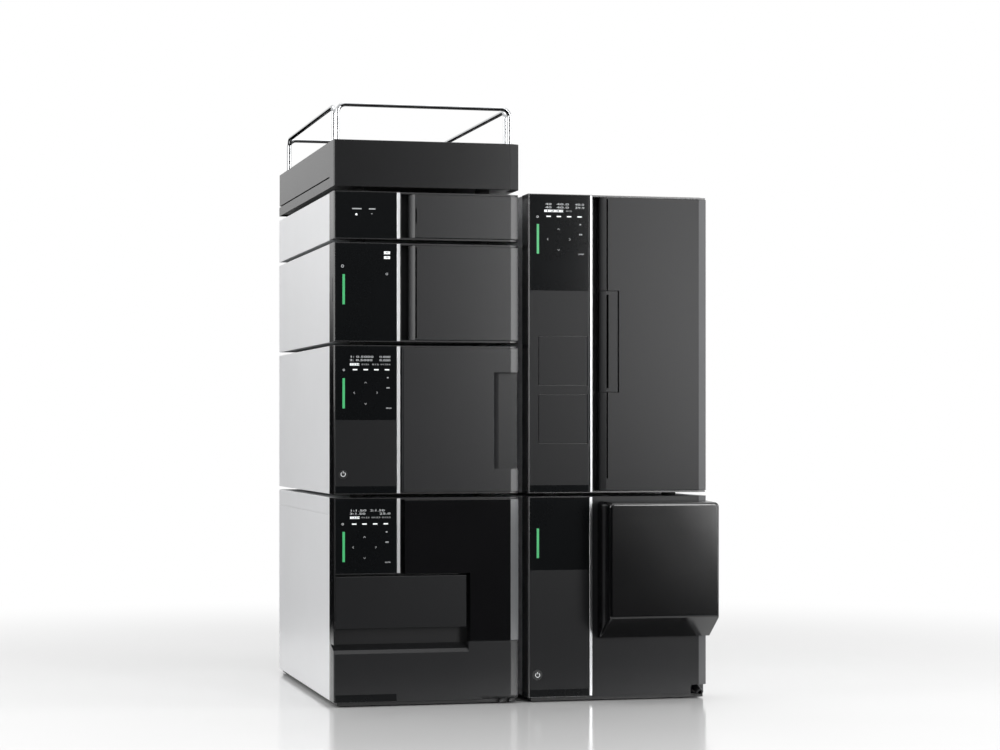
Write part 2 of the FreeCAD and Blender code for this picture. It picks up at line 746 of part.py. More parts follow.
def build_controller():
    u = CONTROLLER
    add("controller_cover", u, module_cover(u))
    add("controller_chassis", u, module_chassis(u, [(CONTROLLER_WINDOW, CONTROLLER_DEEP)], VENT_X))
    add("controller_bezel", u, module_bezel(u, [CONTROLLER_WINDOW], RIGHT_HINGE))
    middle = u.height / 2
    door = groove(right_door(u, CHANNEL_X1), CHANNEL_X1, middle - NOTCH_H / 2, middle + NOTCH_H / 2)
    add("controller_door", u, door)
    add_face(u, u.height)


def side_slots(bezel):
    """Two finger slots in the left side of the detector's bezel."""
    for y0, y1, z0, z1 in SIDE_SLOTS:
        bezel = bezel.cut(block(-OVER, SEAM_DEPTH * 2, y0, y1, z0, z1))
    return bezel


def flow_cell():
    """Optical cell block on the compartment's rear wall, with its two tube nuts."""
    front = DETECTOR_DEEP - CELL_LONG
    x1 = CELL_X0 + CELL_W
    cell = block(CELL_X0, x1, front, DETECTOR_DEEP, CELL_Z0, CELL_Z0 + CELL_H)
    cell = cell.makeChamfer(CELL_CORNER, [e for e in cell.Edges if e.BoundBox.YLength > CELL_LONG - OVER])
    for x in (CELL_X0 + CELL_NUT_IN, x1 - CELL_NUT_IN):
        nut = hexagon(x, front, CELL_Z0 + CELL_H / 2, CELL_NUT_R, CELL_NUT_LONG, V(0, -1, 0))
        cell = join(cell, nut)
    return cell


def build_detector():
    u = DETECTOR
    add("detector_cover", u, module_cover(u))
    add("detector_chassis", u, module_chassis(u, [(DETECTOR_WINDOW, DETECTOR_DEEP)], VENT_X))
    add("detector_bezel", u, side_slots(module_bezel(u, [DETECTOR_WINDOW], RIGHT_HINGE)))
    door = groove(right_door(u, CHANNEL_X1), CHANNEL_X1, DOOR_Z0 + DOOR_WALL, u.height - DOOR_Z0 - DOOR_WALL)
    add("detector_door", u, door)
    add("flow_cell", u, flow_cell())
    add_face(u, u.height, DETECTOR_LIGHT_DOWN)


# Pump


def pump_door():
    """Door hung on its left edge, with a grip recess open to the right."""
    z0 = DOOR_Z0
    z1 = PUMP_H - DOOR_Z0
    door = prism_up(band_outline(PUMP_DOOR_X0, PUMP_DOOR_X0, 0, DOOR_D), z0, z1)
    door = door.makeFillet(PUMP_EDGE_R, line_edges(door, x=PUMP_DOOR_X0, y=0))
    grip = [(GRIP_X0, -OVER), (GRIP_X0, 0), (GRIP_X0 + GRIP_SLOPE, GRIP_DEEP),
            (UNIT_W + OVER, GRIP_DEEP), (UNIT_W + OVER, -OVER)]
    door = door.cut(prism_up(grip, GRIP_Z0, GRIP_Z0 + GRIP_H))
    inside_x0 = PUMP_DOOR_X0 + 2 * PUMP_HINGE_IN
    door = hollow_back(door, inside_x0, GRIP_X0 - 2 * DOOR_WALL, z0, z1)
    return hinge_pins(door, PUMP_DOOR_X0 + PUMP_HINGE_IN, PUMP_HINGE_Y, z0, z1)


def pump_head(x):
    """Stainless head on the rear wall of the compartment, a check valve above and below."""
    front = PUMP_DEEP - HEAD_LONG
    head = rod(x, front, HEAD_Z, HEAD_R, HEAD_LONG, BACK)
    half = HEAD_R * HEAD_FACE_IN
    face = block(x - half, x + half, front - HEAD_FACE_T, front, HEAD_Z - half, HEAD_Z + half)
    face = face.makeChamfer(HEAD_FACE_CUT, [e for e in face.Edges if e.BoundBox.YLength > HEAD_FACE_T - OVER])
    y = front + HEAD_LONG / 3
    tall = CHECK_LONG + CHECK_SINK
    high = hexagon(x, y, HEAD_Z + HEAD_R - CHECK_SINK, CHECK_R, tall, UP)
    low = hexagon(x, y, HEAD_Z - HEAD_R - CHECK_LONG, CHECK_R, tall, UP)
    return join(head, face, high, low)


def pump_tubing():
    """Steel line from each upper check valve to the side of the purge valve."""
    y = PUMP_DEEP - HEAD_LONG * 2 / 3
    lines = []
    for x, side in zip(HEAD_X, (-1, 1)):
        start = V(x, y, HEAD_Z + HEAD_R + CHECK_LONG)
        end = V(PURGE_X + side * PURGE_BLOCK / 2, y, PURGE_Z)
        lines.append(tube([start, V(x, y, PURGE_Z), end], TUBE_R, TUBE_BEND))
    return lines


def purge_valve():
    half = PURGE_BLOCK / 2
    front = PUMP_DEEP - PURGE_LONG
    body = block(PURGE_X - half, PURGE_X + half, front, PUMP_DEEP, PURGE_Z - half, PURGE_Z + half)
    body = body.makeChamfer(WALL, [e for e in body.Edges if e.BoundBox.YLength > HEAD_LONG])
    stem = pin(PURGE_X, front - KNOB_LONG + WALL, PURGE_Z, STEM_R, KNOB_LONG, BACK)
    return join(body, stem)


def purge_knob():
    """Fluted knob on the stem of the purge valve."""
    back = PUMP_DEEP - PURGE_LONG - EDGE_GAP
    front = back - KNOB_LONG
    outline = []
    for k in range(2 * KNOB_FLUTES + 1):
        radius = KNOB_VALLEY_R if k % 2 else KNOB_R
        angle = math.pi * k / KNOB_FLUTES
        outline.append(V(PURGE_X + radius * math.cos(angle), front, PURGE_Z + radius * math.sin(angle)))
    knob = Part.Face(Part.makePolygon(outline)).extrude(BACK * KNOB_LONG)
    bore_long = KNOB_LONG - WALL + EDGE_GAP
    return knob.cut(pin_bore(PURGE_X, back - bore_long, PURGE_Z, STEM_R, bore_long + OVER, BACK))


def build_pump():
    u = PUMP
    hinge = (PUMP_DOOR_X0 + PUMP_HINGE_IN, PUMP_HINGE_Y)
    add("pump_cover", u, module_cover(u))
    add("pump_chassis", u, module_chassis(u, [(PUMP_WINDOW, PUMP_DEEP)], VENT_X))
    hole = button_hole(BUTTON_X, PUMP_BUTTON_Z, PUMP_BUTTON_R)
    add("pump_bezel", u, module_bezel(u, [PUMP_WINDOW], hinge).cut(hole))
    add("lower_panels", u, lower_panel(u, GLASS_H).cut(hole))
    add("pump_power_button", u, push_button(BUTTON_X, PUMP_BUTTON_Z, PUMP_BUTTON_R))
    add("pump_door", u, pump_door())
    add("pump_heads", u, *[pump_head(x) for x in HEAD_X])
    add("pump_tubing", u, *pump_tubing())
    add("purge_valve", u, purge_valve())
    add("purge_knob", u, purge_knob())
    add_face(u, GLASS_H, LIGHT_DOWN, labelled=True)


# Autosampler


def sampler_lower_panel():
    """Fixed panel under the drawer and the door, stepped up at its right end."""
    low = [(0, 0), (0, PANEL_LOW_Z), (PANEL_LEDGE_Y, PANEL_LEDGE_Z), (RING_Y, PANEL_BACK_Z), (RING_Y, 0)]
    left = prism_across(low, 0, PANEL_STEP_X + OVER)
    left = left.makeChamfer(CORNER_CUT, line_edges(left, x=0, y=0))
    right = prism_up(band_outline(PANEL_STEP_X, PANEL_STEP_X, 0, RING_Y), 0, PANEL_TOP_Z)
    panel = join(left, right)
    panel = panel.cut(block(DRAIN_CUT_X, UNIT_W + OVER, -OVER, PLINTH_IN * 2, -OVER, DRAIN_CUT_Z))
    panel = panel.cut(block(EDGE_W, GLASS_X1, -OVER, FACE_RECESS, TOP_EDGE / 2, TOP_EDGE / 2 + LABEL_H))
    inside = block(WALL, PANEL_STEP_X, FACE_RECESS + WALL, RING_Y + OVER, WALL, PANEL_LOW_Z - WALL)
    panel = panel.cut(inside)
    return panel.cut(pin_bore(*RIGHT_HINGE, PANEL_TOP_Z - PIN_LONG - EDGE_GAP, PIN_R,
                              PIN_LONG + EDGE_GAP + OVER))


def sampler_bezel():
    """Short column over the drawer, tall ring with two windows, left edge and top lip."""
    h = SAMPLER_H
    column = column_shell(h, DOOR_STEP_Z)
    ring = block(0, UNIT_W, RING_Y, BEZEL_D, 0, h)
    ring = ring.cut(block(WALL, COLUMN_W - WALL, RING_Y - OVER, BEZEL_D + OVER,
                          DOOR_STEP_Z + WALL, h - WALL))
    for window in (DRAWER_WINDOW, UPPER_WINDOW, VALVE_WINDOW):
        ring = ring.cut(window_cut(window))
    side = block(0, EDGE_W, CORNER_CUT, RING_Y, PANEL_BACK_Z + OVER, DOOR_STEP_Z)
    shell = join(column, ring, side, lip(COLUMN_W - WALL, h - LIP_T, h))
    return shell.cut(pin_hole(*RIGHT_HINGE, h - LIP_T, h))


def sampler_door():
    """L-shaped glossy door: full width above the drawer, a leg down beside it."""
    z0 = PANEL_TOP_Z + EDGE_GAP
    z1 = SAMPLER_H - DOOR_Z0
    wide = prism_up(band_outline(SAMPLER_DOOR_X0, SAMPLER_DOOR_X0, 0, DOOR_D), DOOR_STEP_Z, z1)
    leg = prism_up(band_outline(DOOR_STEP_X, DOOR_STEP_X, 0, DOOR_D), z0, DOOR_STEP_Z + OVER)
    door = join(wide, leg)
    door = door.makeFillet(HINGE_R * 0.999, line_edges(door, x=UNIT_W, y=DOOR_D))
    door = soften_face(door, z0, z1)
    door = hollow_back(door, SAMPLER_DOOR_X0 + DOOR_WALL, DOOR_INSIDE_X1, DOOR_STEP_Z, z1)
    door = hollow_back(door, DOOR_STEP_X + DOOR_WALL, DOOR_INSIDE_X1, z0, DOOR_STEP_Z)
    return hinge_pins(door, *RIGHT_HINGE, z0, z1)


def sampler_drawer():
    """Drawer with a hollow front and a low open box that runs on the compartment floor."""
    front = block(DRAWER_X0, DRAWER_X1, 0, DRAWER_FRONT_D, DRAWER_Z0, DRAWER_Z1)
    front = front.makeChamfer(FACE_EDGE, line_edges(front, y=0))
    x0, x1, z0, z1 = DRAWER_WINDOW
    low = z0 + EDGE_GAP
    box = block(x0 + OVER, x1 - OVER, DRAWER_FRONT_D - OVER, DRAWER_BOX_Y1, low, low + DRAWER_BOX_H)
    box = box.cut(block(x0 + OVER + PLATE_T, x1 - OVER - PLATE_T, DRAWER_FRONT_D, DRAWER_BOX_Y1 - PLATE_T,
                        low + PLATE_T, low + DRAWER_BOX_H + OVER))
    front = front.cut(block(DRAWER_X0 + WALL, DRAWER_X1 - WALL, WALL, DRAWER_FRONT_D + OVER,
                            low + DRAWER_BOX_H + WALL, DRAWER_Z1 - WALL))
    return join(front, box)


def sample_rack():
    """Vial plate that stands in the drawer, with its vials."""
    low = DRAWER_WINDOW[2] + EDGE_GAP + PLATE_T
    x0 = ARM_X - (VIAL_COLS - 1) * VIAL_PITCH / 2
    y0 = RACK_Y - (VIAL_ROWS - 1) * VIAL_PITCH / 2
    edge = VIAL_PITCH / 2
    x1 = x0 + (VIAL_COLS - 1) * VIAL_PITCH
    y1 = y0 + (VIAL_ROWS - 1) * VIAL_PITCH
    top = low + VIAL_H * RACK_SHARE
    inner = edge - RACK_T
    rack = block(x0 - edge, x1 + edge, y0 - edge, y1 + edge, low, top)
    rack = rack.cut(block(x0 - inner, x1 + inner, y0 - inner, y1 + inner, low + RACK_T, top - RACK_T))
    vials = []
    for row in range(VIAL_ROWS):
        for col in range(VIAL_COLS):
            x = x0 + col * VIAL_PITCH
            y = y0 + row * VIAL_PITCH
            rack = rack.cut(polygon(x, y, top - RACK_T - OVER, VIAL_R + EDGE_GAP, RACK_T + 2 * OVER,
                                    UP, ROUND_SIDES))
            vials.append(polygon(x, y, low + RACK_T, VIAL_R, VIAL_H - RACK_T, UP, ROUND_SIDES))
    return rack, vials


def arm_rail():
    """Cross rail on the rear wall of the sample compartment."""
    x0, x1 = DRAWER_WINDOW[0], DRAWER_WINDOW[1]
    return block(x0, x1, SAMPLE_DEEP - RAIL_SECTION, SAMPLE_DEEP, RAIL_Z, RAIL_Z + RAIL_SECTION)


def needle_arm():
    """Arm that runs along the cross rail on a saddle, and carries the needle head in front."""
    gap = EDGE_GAP
    rail_y = SAMPLE_DEEP - RAIL_SECTION
    rail_top = RAIL_Z + RAIL_SECTION
    front = rail_y - SADDLE_T
    saddle = block(ARM_X - ARM_W, ARM_X + ARM_W, front, rail_y + SADDLE_LAP, RAIL_Z - SADDLE_RIM,
                   rail_top + SADDLE_RIM)
    saddle = saddle.cut(block(ARM_X - ARM_W - OVER, ARM_X + ARM_W + OVER, rail_y - gap,
                              rail_y + SADDLE_LAP + OVER, RAIL_Z - gap, rail_top + gap))
    half = ARM_W / 2
    guide_back = front - ARM_REACH
    beam = block(ARM_X - half, ARM_X + half, guide_back, front, RAIL_Z, rail_top)
    guide = block(ARM_X - half, ARM_X + half, guide_back - GUIDE_T, guide_back,
                  HEAD_LOW - NEEDLE_DROP, HEAD_LOW + HEAD_TALL)
    return join(saddle, beam, guide)


def needle_head():
    """Needle carrier that slides on the upright guide of the arm."""
    gap = EDGE_GAP
    guide_y = SAMPLE_DEEP - RAIL_SECTION - SADDLE_T - ARM_REACH - GUIDE_T
    half = HEAD_BODY / 2
    slot = ARM_W / 2 + gap
    top = HEAD_LOW + HEAD_TALL
    body = block(ARM_X - half, ARM_X + half, guide_y - HEAD_FRONT, guide_y + HEAD_LAP, HEAD_LOW, top)
    body = body.cut(block(ARM_X - slot, ARM_X + slot, guide_y - gap, guide_y + HEAD_LAP + OVER,
                          HEAD_LOW - OVER, top + OVER))
    y = guide_y - HEAD_FRONT / 2
    holder = polygon(ARM_X, y, HEAD_LOW - HOLDER_OUT, HOLDER_R, HOLDER_OUT + OVER, UP, ROUND_SIDES)
    needle = pin(ARM_X, y, HEAD_LOW - NEEDLE_OUT, NEEDLE_R, NEEDLE_OUT + OVER)
    return join(body, holder, needle)


def injection_valve():
    """Rotary valve on its wall beside the drawer, six tube nuts in its face."""
    x = (VALVE_WINDOW[0] + VALVE_WINDOW[1]) / 2
    front = VALVE_DEEP - VALVE_LONG
    valve = rod(x, front, VALVE_Z, VALVE_R, VALVE_LONG, BACK)
    for k in range(VALVE_NUTS):
        angle = 2 * math.pi * (k + 0.5) / VALVE_NUTS
        nut_x = x + VALVE_R * VALVE_RING * math.cos(angle)
        nut_z = VALVE_Z + VALVE_R * VALVE_RING * math.sin(angle)
        nut = hexagon(nut_x, front - VALVE_NUT_LONG, nut_z, VALVE_NUT_R, VALVE_NUT_LONG + OVER, BACK)
        valve = valve.fuse(nut)
    return valve.removeSplitter()


def rear_hood(z0, height, width):
    """Dark hood behind the autosampler, open along its underside."""
    x1 = HOOD_X0 + width
    back = UNIT_D + HOOD_PROUD
    hood = block(HOOD_X0, x1, UNIT_D, back, z0, z0 + height)
    hood = hood.makeChamfer(WALL, line_edges(hood, y=back))
    return hood.cut(block(HOOD_X0 + PLATE_T, x1 - PLATE_T, UNIT_D - OVER, back - PLATE_T,
                          z0 - OVER, z0 + height - PLATE_T))


def build_sampler():
    u = SAMPLER
    x0, x1, z0, z1 = DRAWER_WINDOW
    sample_room = (x0, x1, z0, UPPER_WINDOW[3])
    upper_room = (x1 - OVER, VALVE_WINDOW[0] + OVER, UPPER_WINDOW[2], UPPER_WINDOW[3])
    rooms = [(sample_room, SAMPLE_DEEP), (VALVE_WINDOW, VALVE_DEEP), (upper_room, VALVE_DEEP)]
    add("sampler_cover", u, module_cover(u, seamed=True))
    chassis = module_chassis(u, rooms, SAMPLER_VENT_X, plinth=True)
    add("sampler_chassis", u, join(chassis, arm_rail()))
    add("sampler_bezel", u, sampler_bezel())
    add("sampler_lower_panel", u, sampler_lower_panel())
    add("sampler_door", u, sampler_door())
    add("sampler_drawer", u, sampler_drawer())
    rack, vials = sample_rack()
    add("vial_rack", u, rack)
    add("sample_vials", u, *vials)
    add("needle_arm", u, needle_arm())
    add("needle_head", u, needle_head())
    add("injection_valve", u, injection_valve())
    for z, height, width in HOODS:
        add("rear_hoods", u, rear_hood(z, height, width))
    for x in NIPPLE_X:
        add("drain_spouts", u, polygon(x, -WALL, NIPPLE_R - PLINTH_IN + EDGE_GAP, NIPPLE_R,
                                       PLINTH_IN + WALL, BACK, ROUND_SIDES))
    label_z = TOP_EDGE / 2
    add("display_glass", u, block(EDGE_W, GLASS_X1, 0, FACE_RECESS, label_z, label_z + LABEL_H))
    add_face(u, SAMPLER_H, SAMPLER_LIGHT_DOWN, bottom=DOOR_STEP_Z)


# Column oven


def oven_door():
    """Tall door with a slot at its left edge that holds the latch handle."""
    door = right_door(OVEN, OVEN_DOOR_X0)
    door = groove(door, OVEN_DOOR_X0, OVEN_GROOVE_Z0, OVEN_H - DOOR_Z0 - DOOR_WALL)
    z0 = HANDLE_Z0
    z1 = HANDLE_Z0 + HANDLE_H
    backing = block(OVEN_DOOR_X0, HANDLE_SLOT_X1 + DOOR_WALL, DOOR_SKIN, DOOR_D, z0 - WALL, z1 + WALL)
    door = join(door, backing)
    slot_x0 = OVEN_DOOR_X0 - FLANK_RUN - OVER
    door = door.cut(block(slot_x0, HANDLE_SLOT_X1, -OVER, HANDLE_SLOT_D, z0, z1))
    reach = PIN_LONG + EDGE_GAP
    for low in (z0 - reach, z1):
        door = door.cut(pin_bore(HANDLE_PIN_X, HANDLE_PIN_Y, low, HANDLE_PIN_R, reach))
    return door


def oven_handle():
    """Flap with a bar along the door's slanted edge, which fingers pull from the channel."""
    z0 = HANDLE_Z0 + HANDLE_GAP
    z1 = HANDLE_Z0 + HANDLE_H - HANDLE_GAP
    left = OVEN_DOOR_X0 - FLANK_RUN
    outline = [(OVEN_DOOR_X0, 0), (HANDLE_X1, 0), (HANDLE_X1, HANDLE_D), (left, HANDLE_D), (left, FLANK_RUN)]
    flap = prism_up(outline, z0, z1)
    flap = flap.makeFillet(HANDLE_EDGE_R, line_edges(flap, x=HANDLE_X1, y=0))
    flap = flap.cut(block(OVEN_DOOR_X0 + GROOVE_IN, HANDLE_X0, -OVER, HANDLE_D + OVER,
                          z0 + HANDLE_RIM, z1 - HANDLE_RIM))
    low = pin(HANDLE_PIN_X, HANDLE_PIN_Y, z0 - PIN_LONG, HANDLE_PIN_R, PIN_LONG + OVER)
    high = pin(HANDLE_PIN_X, HANDLE_PIN_Y, z1 - OVER, HANDLE_PIN_R, PIN_LONG + OVER)
    return join(flap, low, high)


def oven_column(x):
    """Steel separation column with a nut at each end."""
    y = OVEN_DEEP - OVEN_COLUMN_OUT
    body = rod(x, y, OVEN_COLUMN_Z, OVEN_COLUMN_R, OVEN_COLUMN_LONG, UP)
    low = hexagon(x, y, OVEN_COLUMN_Z - NUT_LONG / 2, NUT_R, NUT_LONG, UP)
    high = hexagon(x, y, OVEN_COLUMN_Z + OVEN_COLUMN_LONG - NUT_LONG / 2, NUT_R, NUT_LONG, UP)
    return join(body, low, high)


def column_clips(x):
    """Two open clips on the rear wall that grip a column."""
    y = OVEN_DEEP - OVEN_COLUMN_OUT
    front = y - CLIP_WALL
    bore_r = OVEN_COLUMN_R / math.cos(math.pi / ROUND_SIDES)
    clips = []
    for share in CLIP_SHARES:
        z = OVEN_COLUMN_Z + OVEN_COLUMN_LONG * share - CLIP_H / 2
        clip = block(x - CLIP_HALF_W, x + CLIP_HALF_W, front, OVEN_DEEP, z, z + CLIP_H)
        clip = clip.cut(polygon(x, y, z - OVER, bore_r, CLIP_H + 2 * OVER, UP, ROUND_SIDES))
        mouth = block(x - CLIP_MOUTH, x + CLIP_MOUTH, front - OVER, y, z - OVER, z + CLIP_H + OVER)
        clips.append(clip.cut(mouth))
    return clips


def build_oven():
    u = OVEN
    fan_x = (OVEN_WINDOW[0] + OVEN_WINDOW[1]) / 2
    fan_y = OVEN_DEEP - FAN_BACK - FAN_DEEP
    spindle = pin(fan_x, fan_y - PIN_R, OVEN_FAN_Z, SPINDLE_R, OVEN_DEEP - fan_y + PIN_R, BACK)
    add("oven_cover", u, module_cover(u))
    add("oven_chassis", u, join(module_chassis(u, [(OVEN_WINDOW, OVEN_DEEP)], VENT_X), spindle))
    add("oven_bezel", u, module_bezel(u, [OVEN_WINDOW], RIGHT_HINGE, INNER_CORNER_CUT))
    panel = lower_panel(u, OVEN_GLASS_H)
    for z in HATCH_Z:
        panel = panel.cut(block(HATCH_X0, HATCH_X0 + HATCH_SIDE, -OVER, FACE_RECESS + OVER,
                                z, z + HATCH_TALL))
        cover = block(HATCH_X0 + HATCH_GAP, HATCH_X0 + HATCH_SIDE - HATCH_GAP, 0, FACE_RECESS,
                      z + HATCH_GAP, z + HATCH_TALL - HATCH_GAP)
        add("hatch_covers", u, cover.makeChamfer(FACE_EDGE / 2, line_edges(cover, y=0)))
    add("lower_panels", u, panel)
    add("oven_door", u, oven_door())
    add("oven_handle", u, oven_handle())
    add("oven_columns", u, *[oven_column(x) for x in OVEN_COLUMN_X])
    for x in OVEN_COLUMN_X:
        add("column_clips", u, *column_clips(x))
    add("oven_fan", u, fan_rotor(fan_x, fan_y, OVEN_FAN_Z, OVEN_FAN_R))
    add_face(u, OVEN_GLASS_H, OVEN_LIGHT_DOWN, strip_x0=OVEN_STRIP_X0, labelled=True)


# Mass spectrometer


COVER_HINGE = (UNIT_W - HINGE_R, -COVER_GAP - HINGE_R)
KNUCKLES = (COVER_Z0 + KNUCKLE_IN, COVER_Z1 - KNUCKLE_IN - KNUCKLE_H)


def source_form(inset):
    """Outer form of the ion source cover, or the same form drawn in by a wall."""
    front = -COVER_REACH + inset
    rim = -COVER_GAP
    slope = (COVER_FRONT_Z0 - COVER_Z0) / (COVER_REACH - COVER_RIM)
    low = COVER_Z0 + inset
    side = [(rim, low), (-COVER_RIM, low), (front, low + slope * (-COVER_RIM - front)),
            (front, COVER_Z1 - COVER_TOP_DROP - inset), (rim, COVER_Z1 - inset)]
    plan = [(COVER_X0 + inset, rim), (UNIT_W - inset, rim), (UNIT_W - COVER_DRAW_R - inset, front),
            (COVER_X0 + COVER_DRAW_L + inset, front)]
    return prism_across(side, COVER_X0 - OVER, UNIT_W + OVER).common(
        prism_up(plan, COVER_Z0 - OVER, COVER_Z1 + OVER))


def source_cover():
    """Hollow cover with a drawn form, round front edges and a hinge post up its right corner."""
    shape = source_form(0)
    shape = shape.makeFillet(HINGE_R * 0.999, line_edges(shape, x=UNIT_W, y=-COVER_GAP))
    long_edges = [e for e in shape.Edges if e.BoundBox.YLength > COVER_REACH / 2
                  and e.BoundBox.ZMin > COVER_Z1 - COVER_EDGE_R]
    shape = shape.makeFillet(COVER_CORNER_R, long_edges)
    front = -COVER_REACH
    edges = line_edges(shape, y=front)
    edges += [e for e in shape.Edges if e.BoundBox.YMin < front + NEAR < e.BoundBox.YMax
              and e.BoundBox.XMax < UNIT_W / 2]
    shape = shape.makeFillet(COVER_EDGE_R, edges)
    x, y = COVER_HINGE
    inside = source_form(COVER_WALL)
    inside = join(inside, block(COVER_X0 + COVER_WALL, UNIT_W - 2 * HINGE_R, -COVER_GAP - OVER, OVER,
                                COVER_Z0 + COVER_WALL, COVER_Z1 - COVER_WALL))
    post = rod(x, y, COVER_Z0, HINGE_R * 0.999, COVER_Z1 - COVER_Z0, UP)
    inside = inside.cut(post)
    shape = shape.cut(inside)
    for z in KNUCKLES:
        shape = shape.cut(rod(x, y, z - EDGE_GAP, HINGE_R + COVER_GAP, KNUCKLE_H + 2 * EDGE_GAP, UP))
        reach = KNUCKLE_H + 2 * (PIN_LONG + EDGE_GAP + EDGE_GAP)
        low = z - PIN_LONG - 2 * EDGE_GAP
        shape = shape.cut(pin_bore(x, y, low, PIN_R, reach))
    return shape


def source_front_panel():
    """Fixed front of the mass spectrometer, with the window of the ion source and two knuckles."""
    h = SPECTROMETER_H
    panel = prism_up(band_outline(COLUMN_W, COLUMN_W, 0, BEZEL_D), 0, h)
    x0, x1, z0, z1 = SOURCE_WINDOW
    panel = panel.cut(block(x0, x1, -OVER, BEZEL_D + OVER, z0, z1))
    panel = panel.cut(block(CORNER_NOTCH_X, UNIT_W + OVER, -OVER, BEZEL_D / 2, -OVER, CORNER_NOTCH_Z))
    x, y = COVER_HINGE
    for z in KNUCKLES:
        boss = rod(x, y, z, KNUCKLE_R, KNUCKLE_H, UP)
        neck = block(x - KNUCKLE_R / 2, x + NECK_OUT, y, BAND_D, z, z + KNUCKLE_H)
        axle = pin(x, y, z - PIN_LONG, PIN_R, KNUCKLE_H + 2 * PIN_LONG)
        panel = join(panel, boss, neck, axle)
    return panel


def ion_source():
    """Ion source housing on the rear wall of its compartment, with a round window."""
    x0, x1, z0, z1 = SOURCE_BLOCK
    housing = block(x0, x1, SOURCE_BLOCK_Y, SOURCE_DEEP, z0, z1)
    long_edges = [e for e in housing.Edges if e.BoundBox.YLength > SOURCE_DEEP - SOURCE_BLOCK_Y - OVER]
    housing = housing.makeFillet(SOURCE_CORNER, long_edges)
    middle_x = (x0 + x1) / 2
    middle_z = (z0 + z1) / 2
    front = SOURCE_BLOCK_Y - SOURCE_RING_T
    ring = rod(middle_x, front, middle_z, SOURCE_RING_R, SOURCE_RING_T + OVER, BACK)
    housing = join(housing, ring)
    return housing.cut(rod(middle_x, front - OVER, middle_z, SOURCE_EYE_R, SOURCE_EYE_DEEP + OVER, BACK))


def spray_probe():
    """Spray probe that stands on the housing, with a wide adjusting collar."""
    x0, x1, z0, z1 = SOURCE_BLOCK
    x = (x0 + x1) / 2
    y = (SOURCE_BLOCK_Y + SOURCE_DEEP) / 2
    body = rod(x, y, z1, PROBE_R, PROBE_LONG, UP)
    collar = polygon(x, y, z1 + COLLAR_UP, COLLAR_R, COLLAR_LONG, UP, ROUND_SIDES)
    nut = hexagon(x, y, z1 + PROBE_LONG, PROBE_NUT_R, PROBE_NUT_LONG, UP)
    return join(body, collar, nut)


def guarded_rear(chassis):
    """Slotted finger guard of the fan in the rear wall, and the spindle that carries it."""
    wall_y = UNIT_D - PLATE_T
    for row in range(-GRILLE_ROWS, GRILLE_ROWS + 1):
        rise = row * GRILLE_PITCH
        reach = math.sqrt((FAN_R - FAN_TIP_GAP) ** 2 - (abs(rise) + GRILLE_SLOT / 2) ** 2)
        z = FAN_Z + rise - GRILLE_SLOT / 2
        for x0, x1 in ((FAN_X - reach, FAN_X - GRILLE_PAD / 2), (FAN_X + GRILLE_PAD / 2, FAN_X + reach)):
            chassis = chassis.cut(block(x0, x1, wall_y - OVER, UNIT_D + OVER, z, z + GRILLE_SLOT))
    long = FAN_DEEP + FAN_BACK + PIN_R
    spindle = pin(FAN_X, wall_y - long, FAN_Z, SPINDLE_R, long + OVER, BACK)
    return join(chassis, spindle)


def drain_spout():
    """Waste spout in the notch under the cover, tipped down towards the front."""
    spout = Part.makeCylinder(SPOUT_R, SPOUT_LONG, V(0, 0, 0), V(0, -1, 0))
    mouth = Part.makeCylinder(SPOUT_BORE_R, SPOUT_BORE_DEEP, V(0, -SPOUT_LONG, 0), BACK)
    spout = spout.cut(mouth)
    spout.rotate(V(0, 0, 0), RIGHT, SPOUT_TIP)
    notch_back = BEZEL_D / 2
    spout.translate(V(SPOUT_X, notch_back - CORNER_CUT, SPOUT_Z))
    behind = block(CORNER_NOTCH_X, UNIT_W, notch_back, BEZEL_D, -CORNER_NOTCH_Z, 2 * CORNER_NOTCH_Z)
    return spout.cut(behind)


def build_spectrometer():
    u = SPECTROMETER
    add("spectrometer_cover", u, module_cover(u))
    chassis = module_chassis(u, [(SOURCE_WINDOW, SOURCE_DEEP)], SPECTROMETER_VENT_X, plinth=True)
    add("spectrometer_chassis", u, guarded_rear(chassis))
    hole = button_hole(BUTTON_X, SPECTROMETER_BUTTON_Z, SPECTROMETER_BUTTON_R)
    add("spectrometer_bezel", u, column_shell(u.height, 0, INNER_CORNER_CUT).cut(hole))
    add("spectrometer_front", u, source_front_panel())
    add("lower_panels", u, lower_panel(u, GLASS_H).cut(hole))
    button = push_button(BUTTON_X, SPECTROMETER_BUTTON_Z, SPECTROMETER_BUTTON_R)
    add("spectrometer_power_button", u, button)
    add("source_cover", u, source_cover())
    add("ion_source", u, ion_source())
    add("spray_probe", u, spray_probe())
    fan_y = UNIT_D - PLATE_T - FAN_BACK - FAN_DEEP
    add("rear_fan", u, fan_rotor(FAN_X, fan_y, FAN_Z, FAN_R - FAN_TIP_GAP))
    add("drain_spouts", u, drain_spout())
    add_face(u, GLASS_H, SPECTROMETER_LIGHT_DOWN, strip_x0=OVEN_STRIP_X0 - OVER, labelled=True)


# Bottle tray


def tray_bezel():
    """Front of the tray, closed on top, hollow from behind."""
    h = TRAY_H
    front = prism_up(band_outline(0, 0, 0, BEZEL_D), 0, h)
    front = front.makeChamfer(CORNER_CUT, line_edges(front, x=0, y=0))
    front = soften_face(front, 0, h)
    return front.cut(block(WALL, UNIT_W - BAND_W, BAND_D + WALL, BEZEL_D + OVER, WALL, h - WALL))


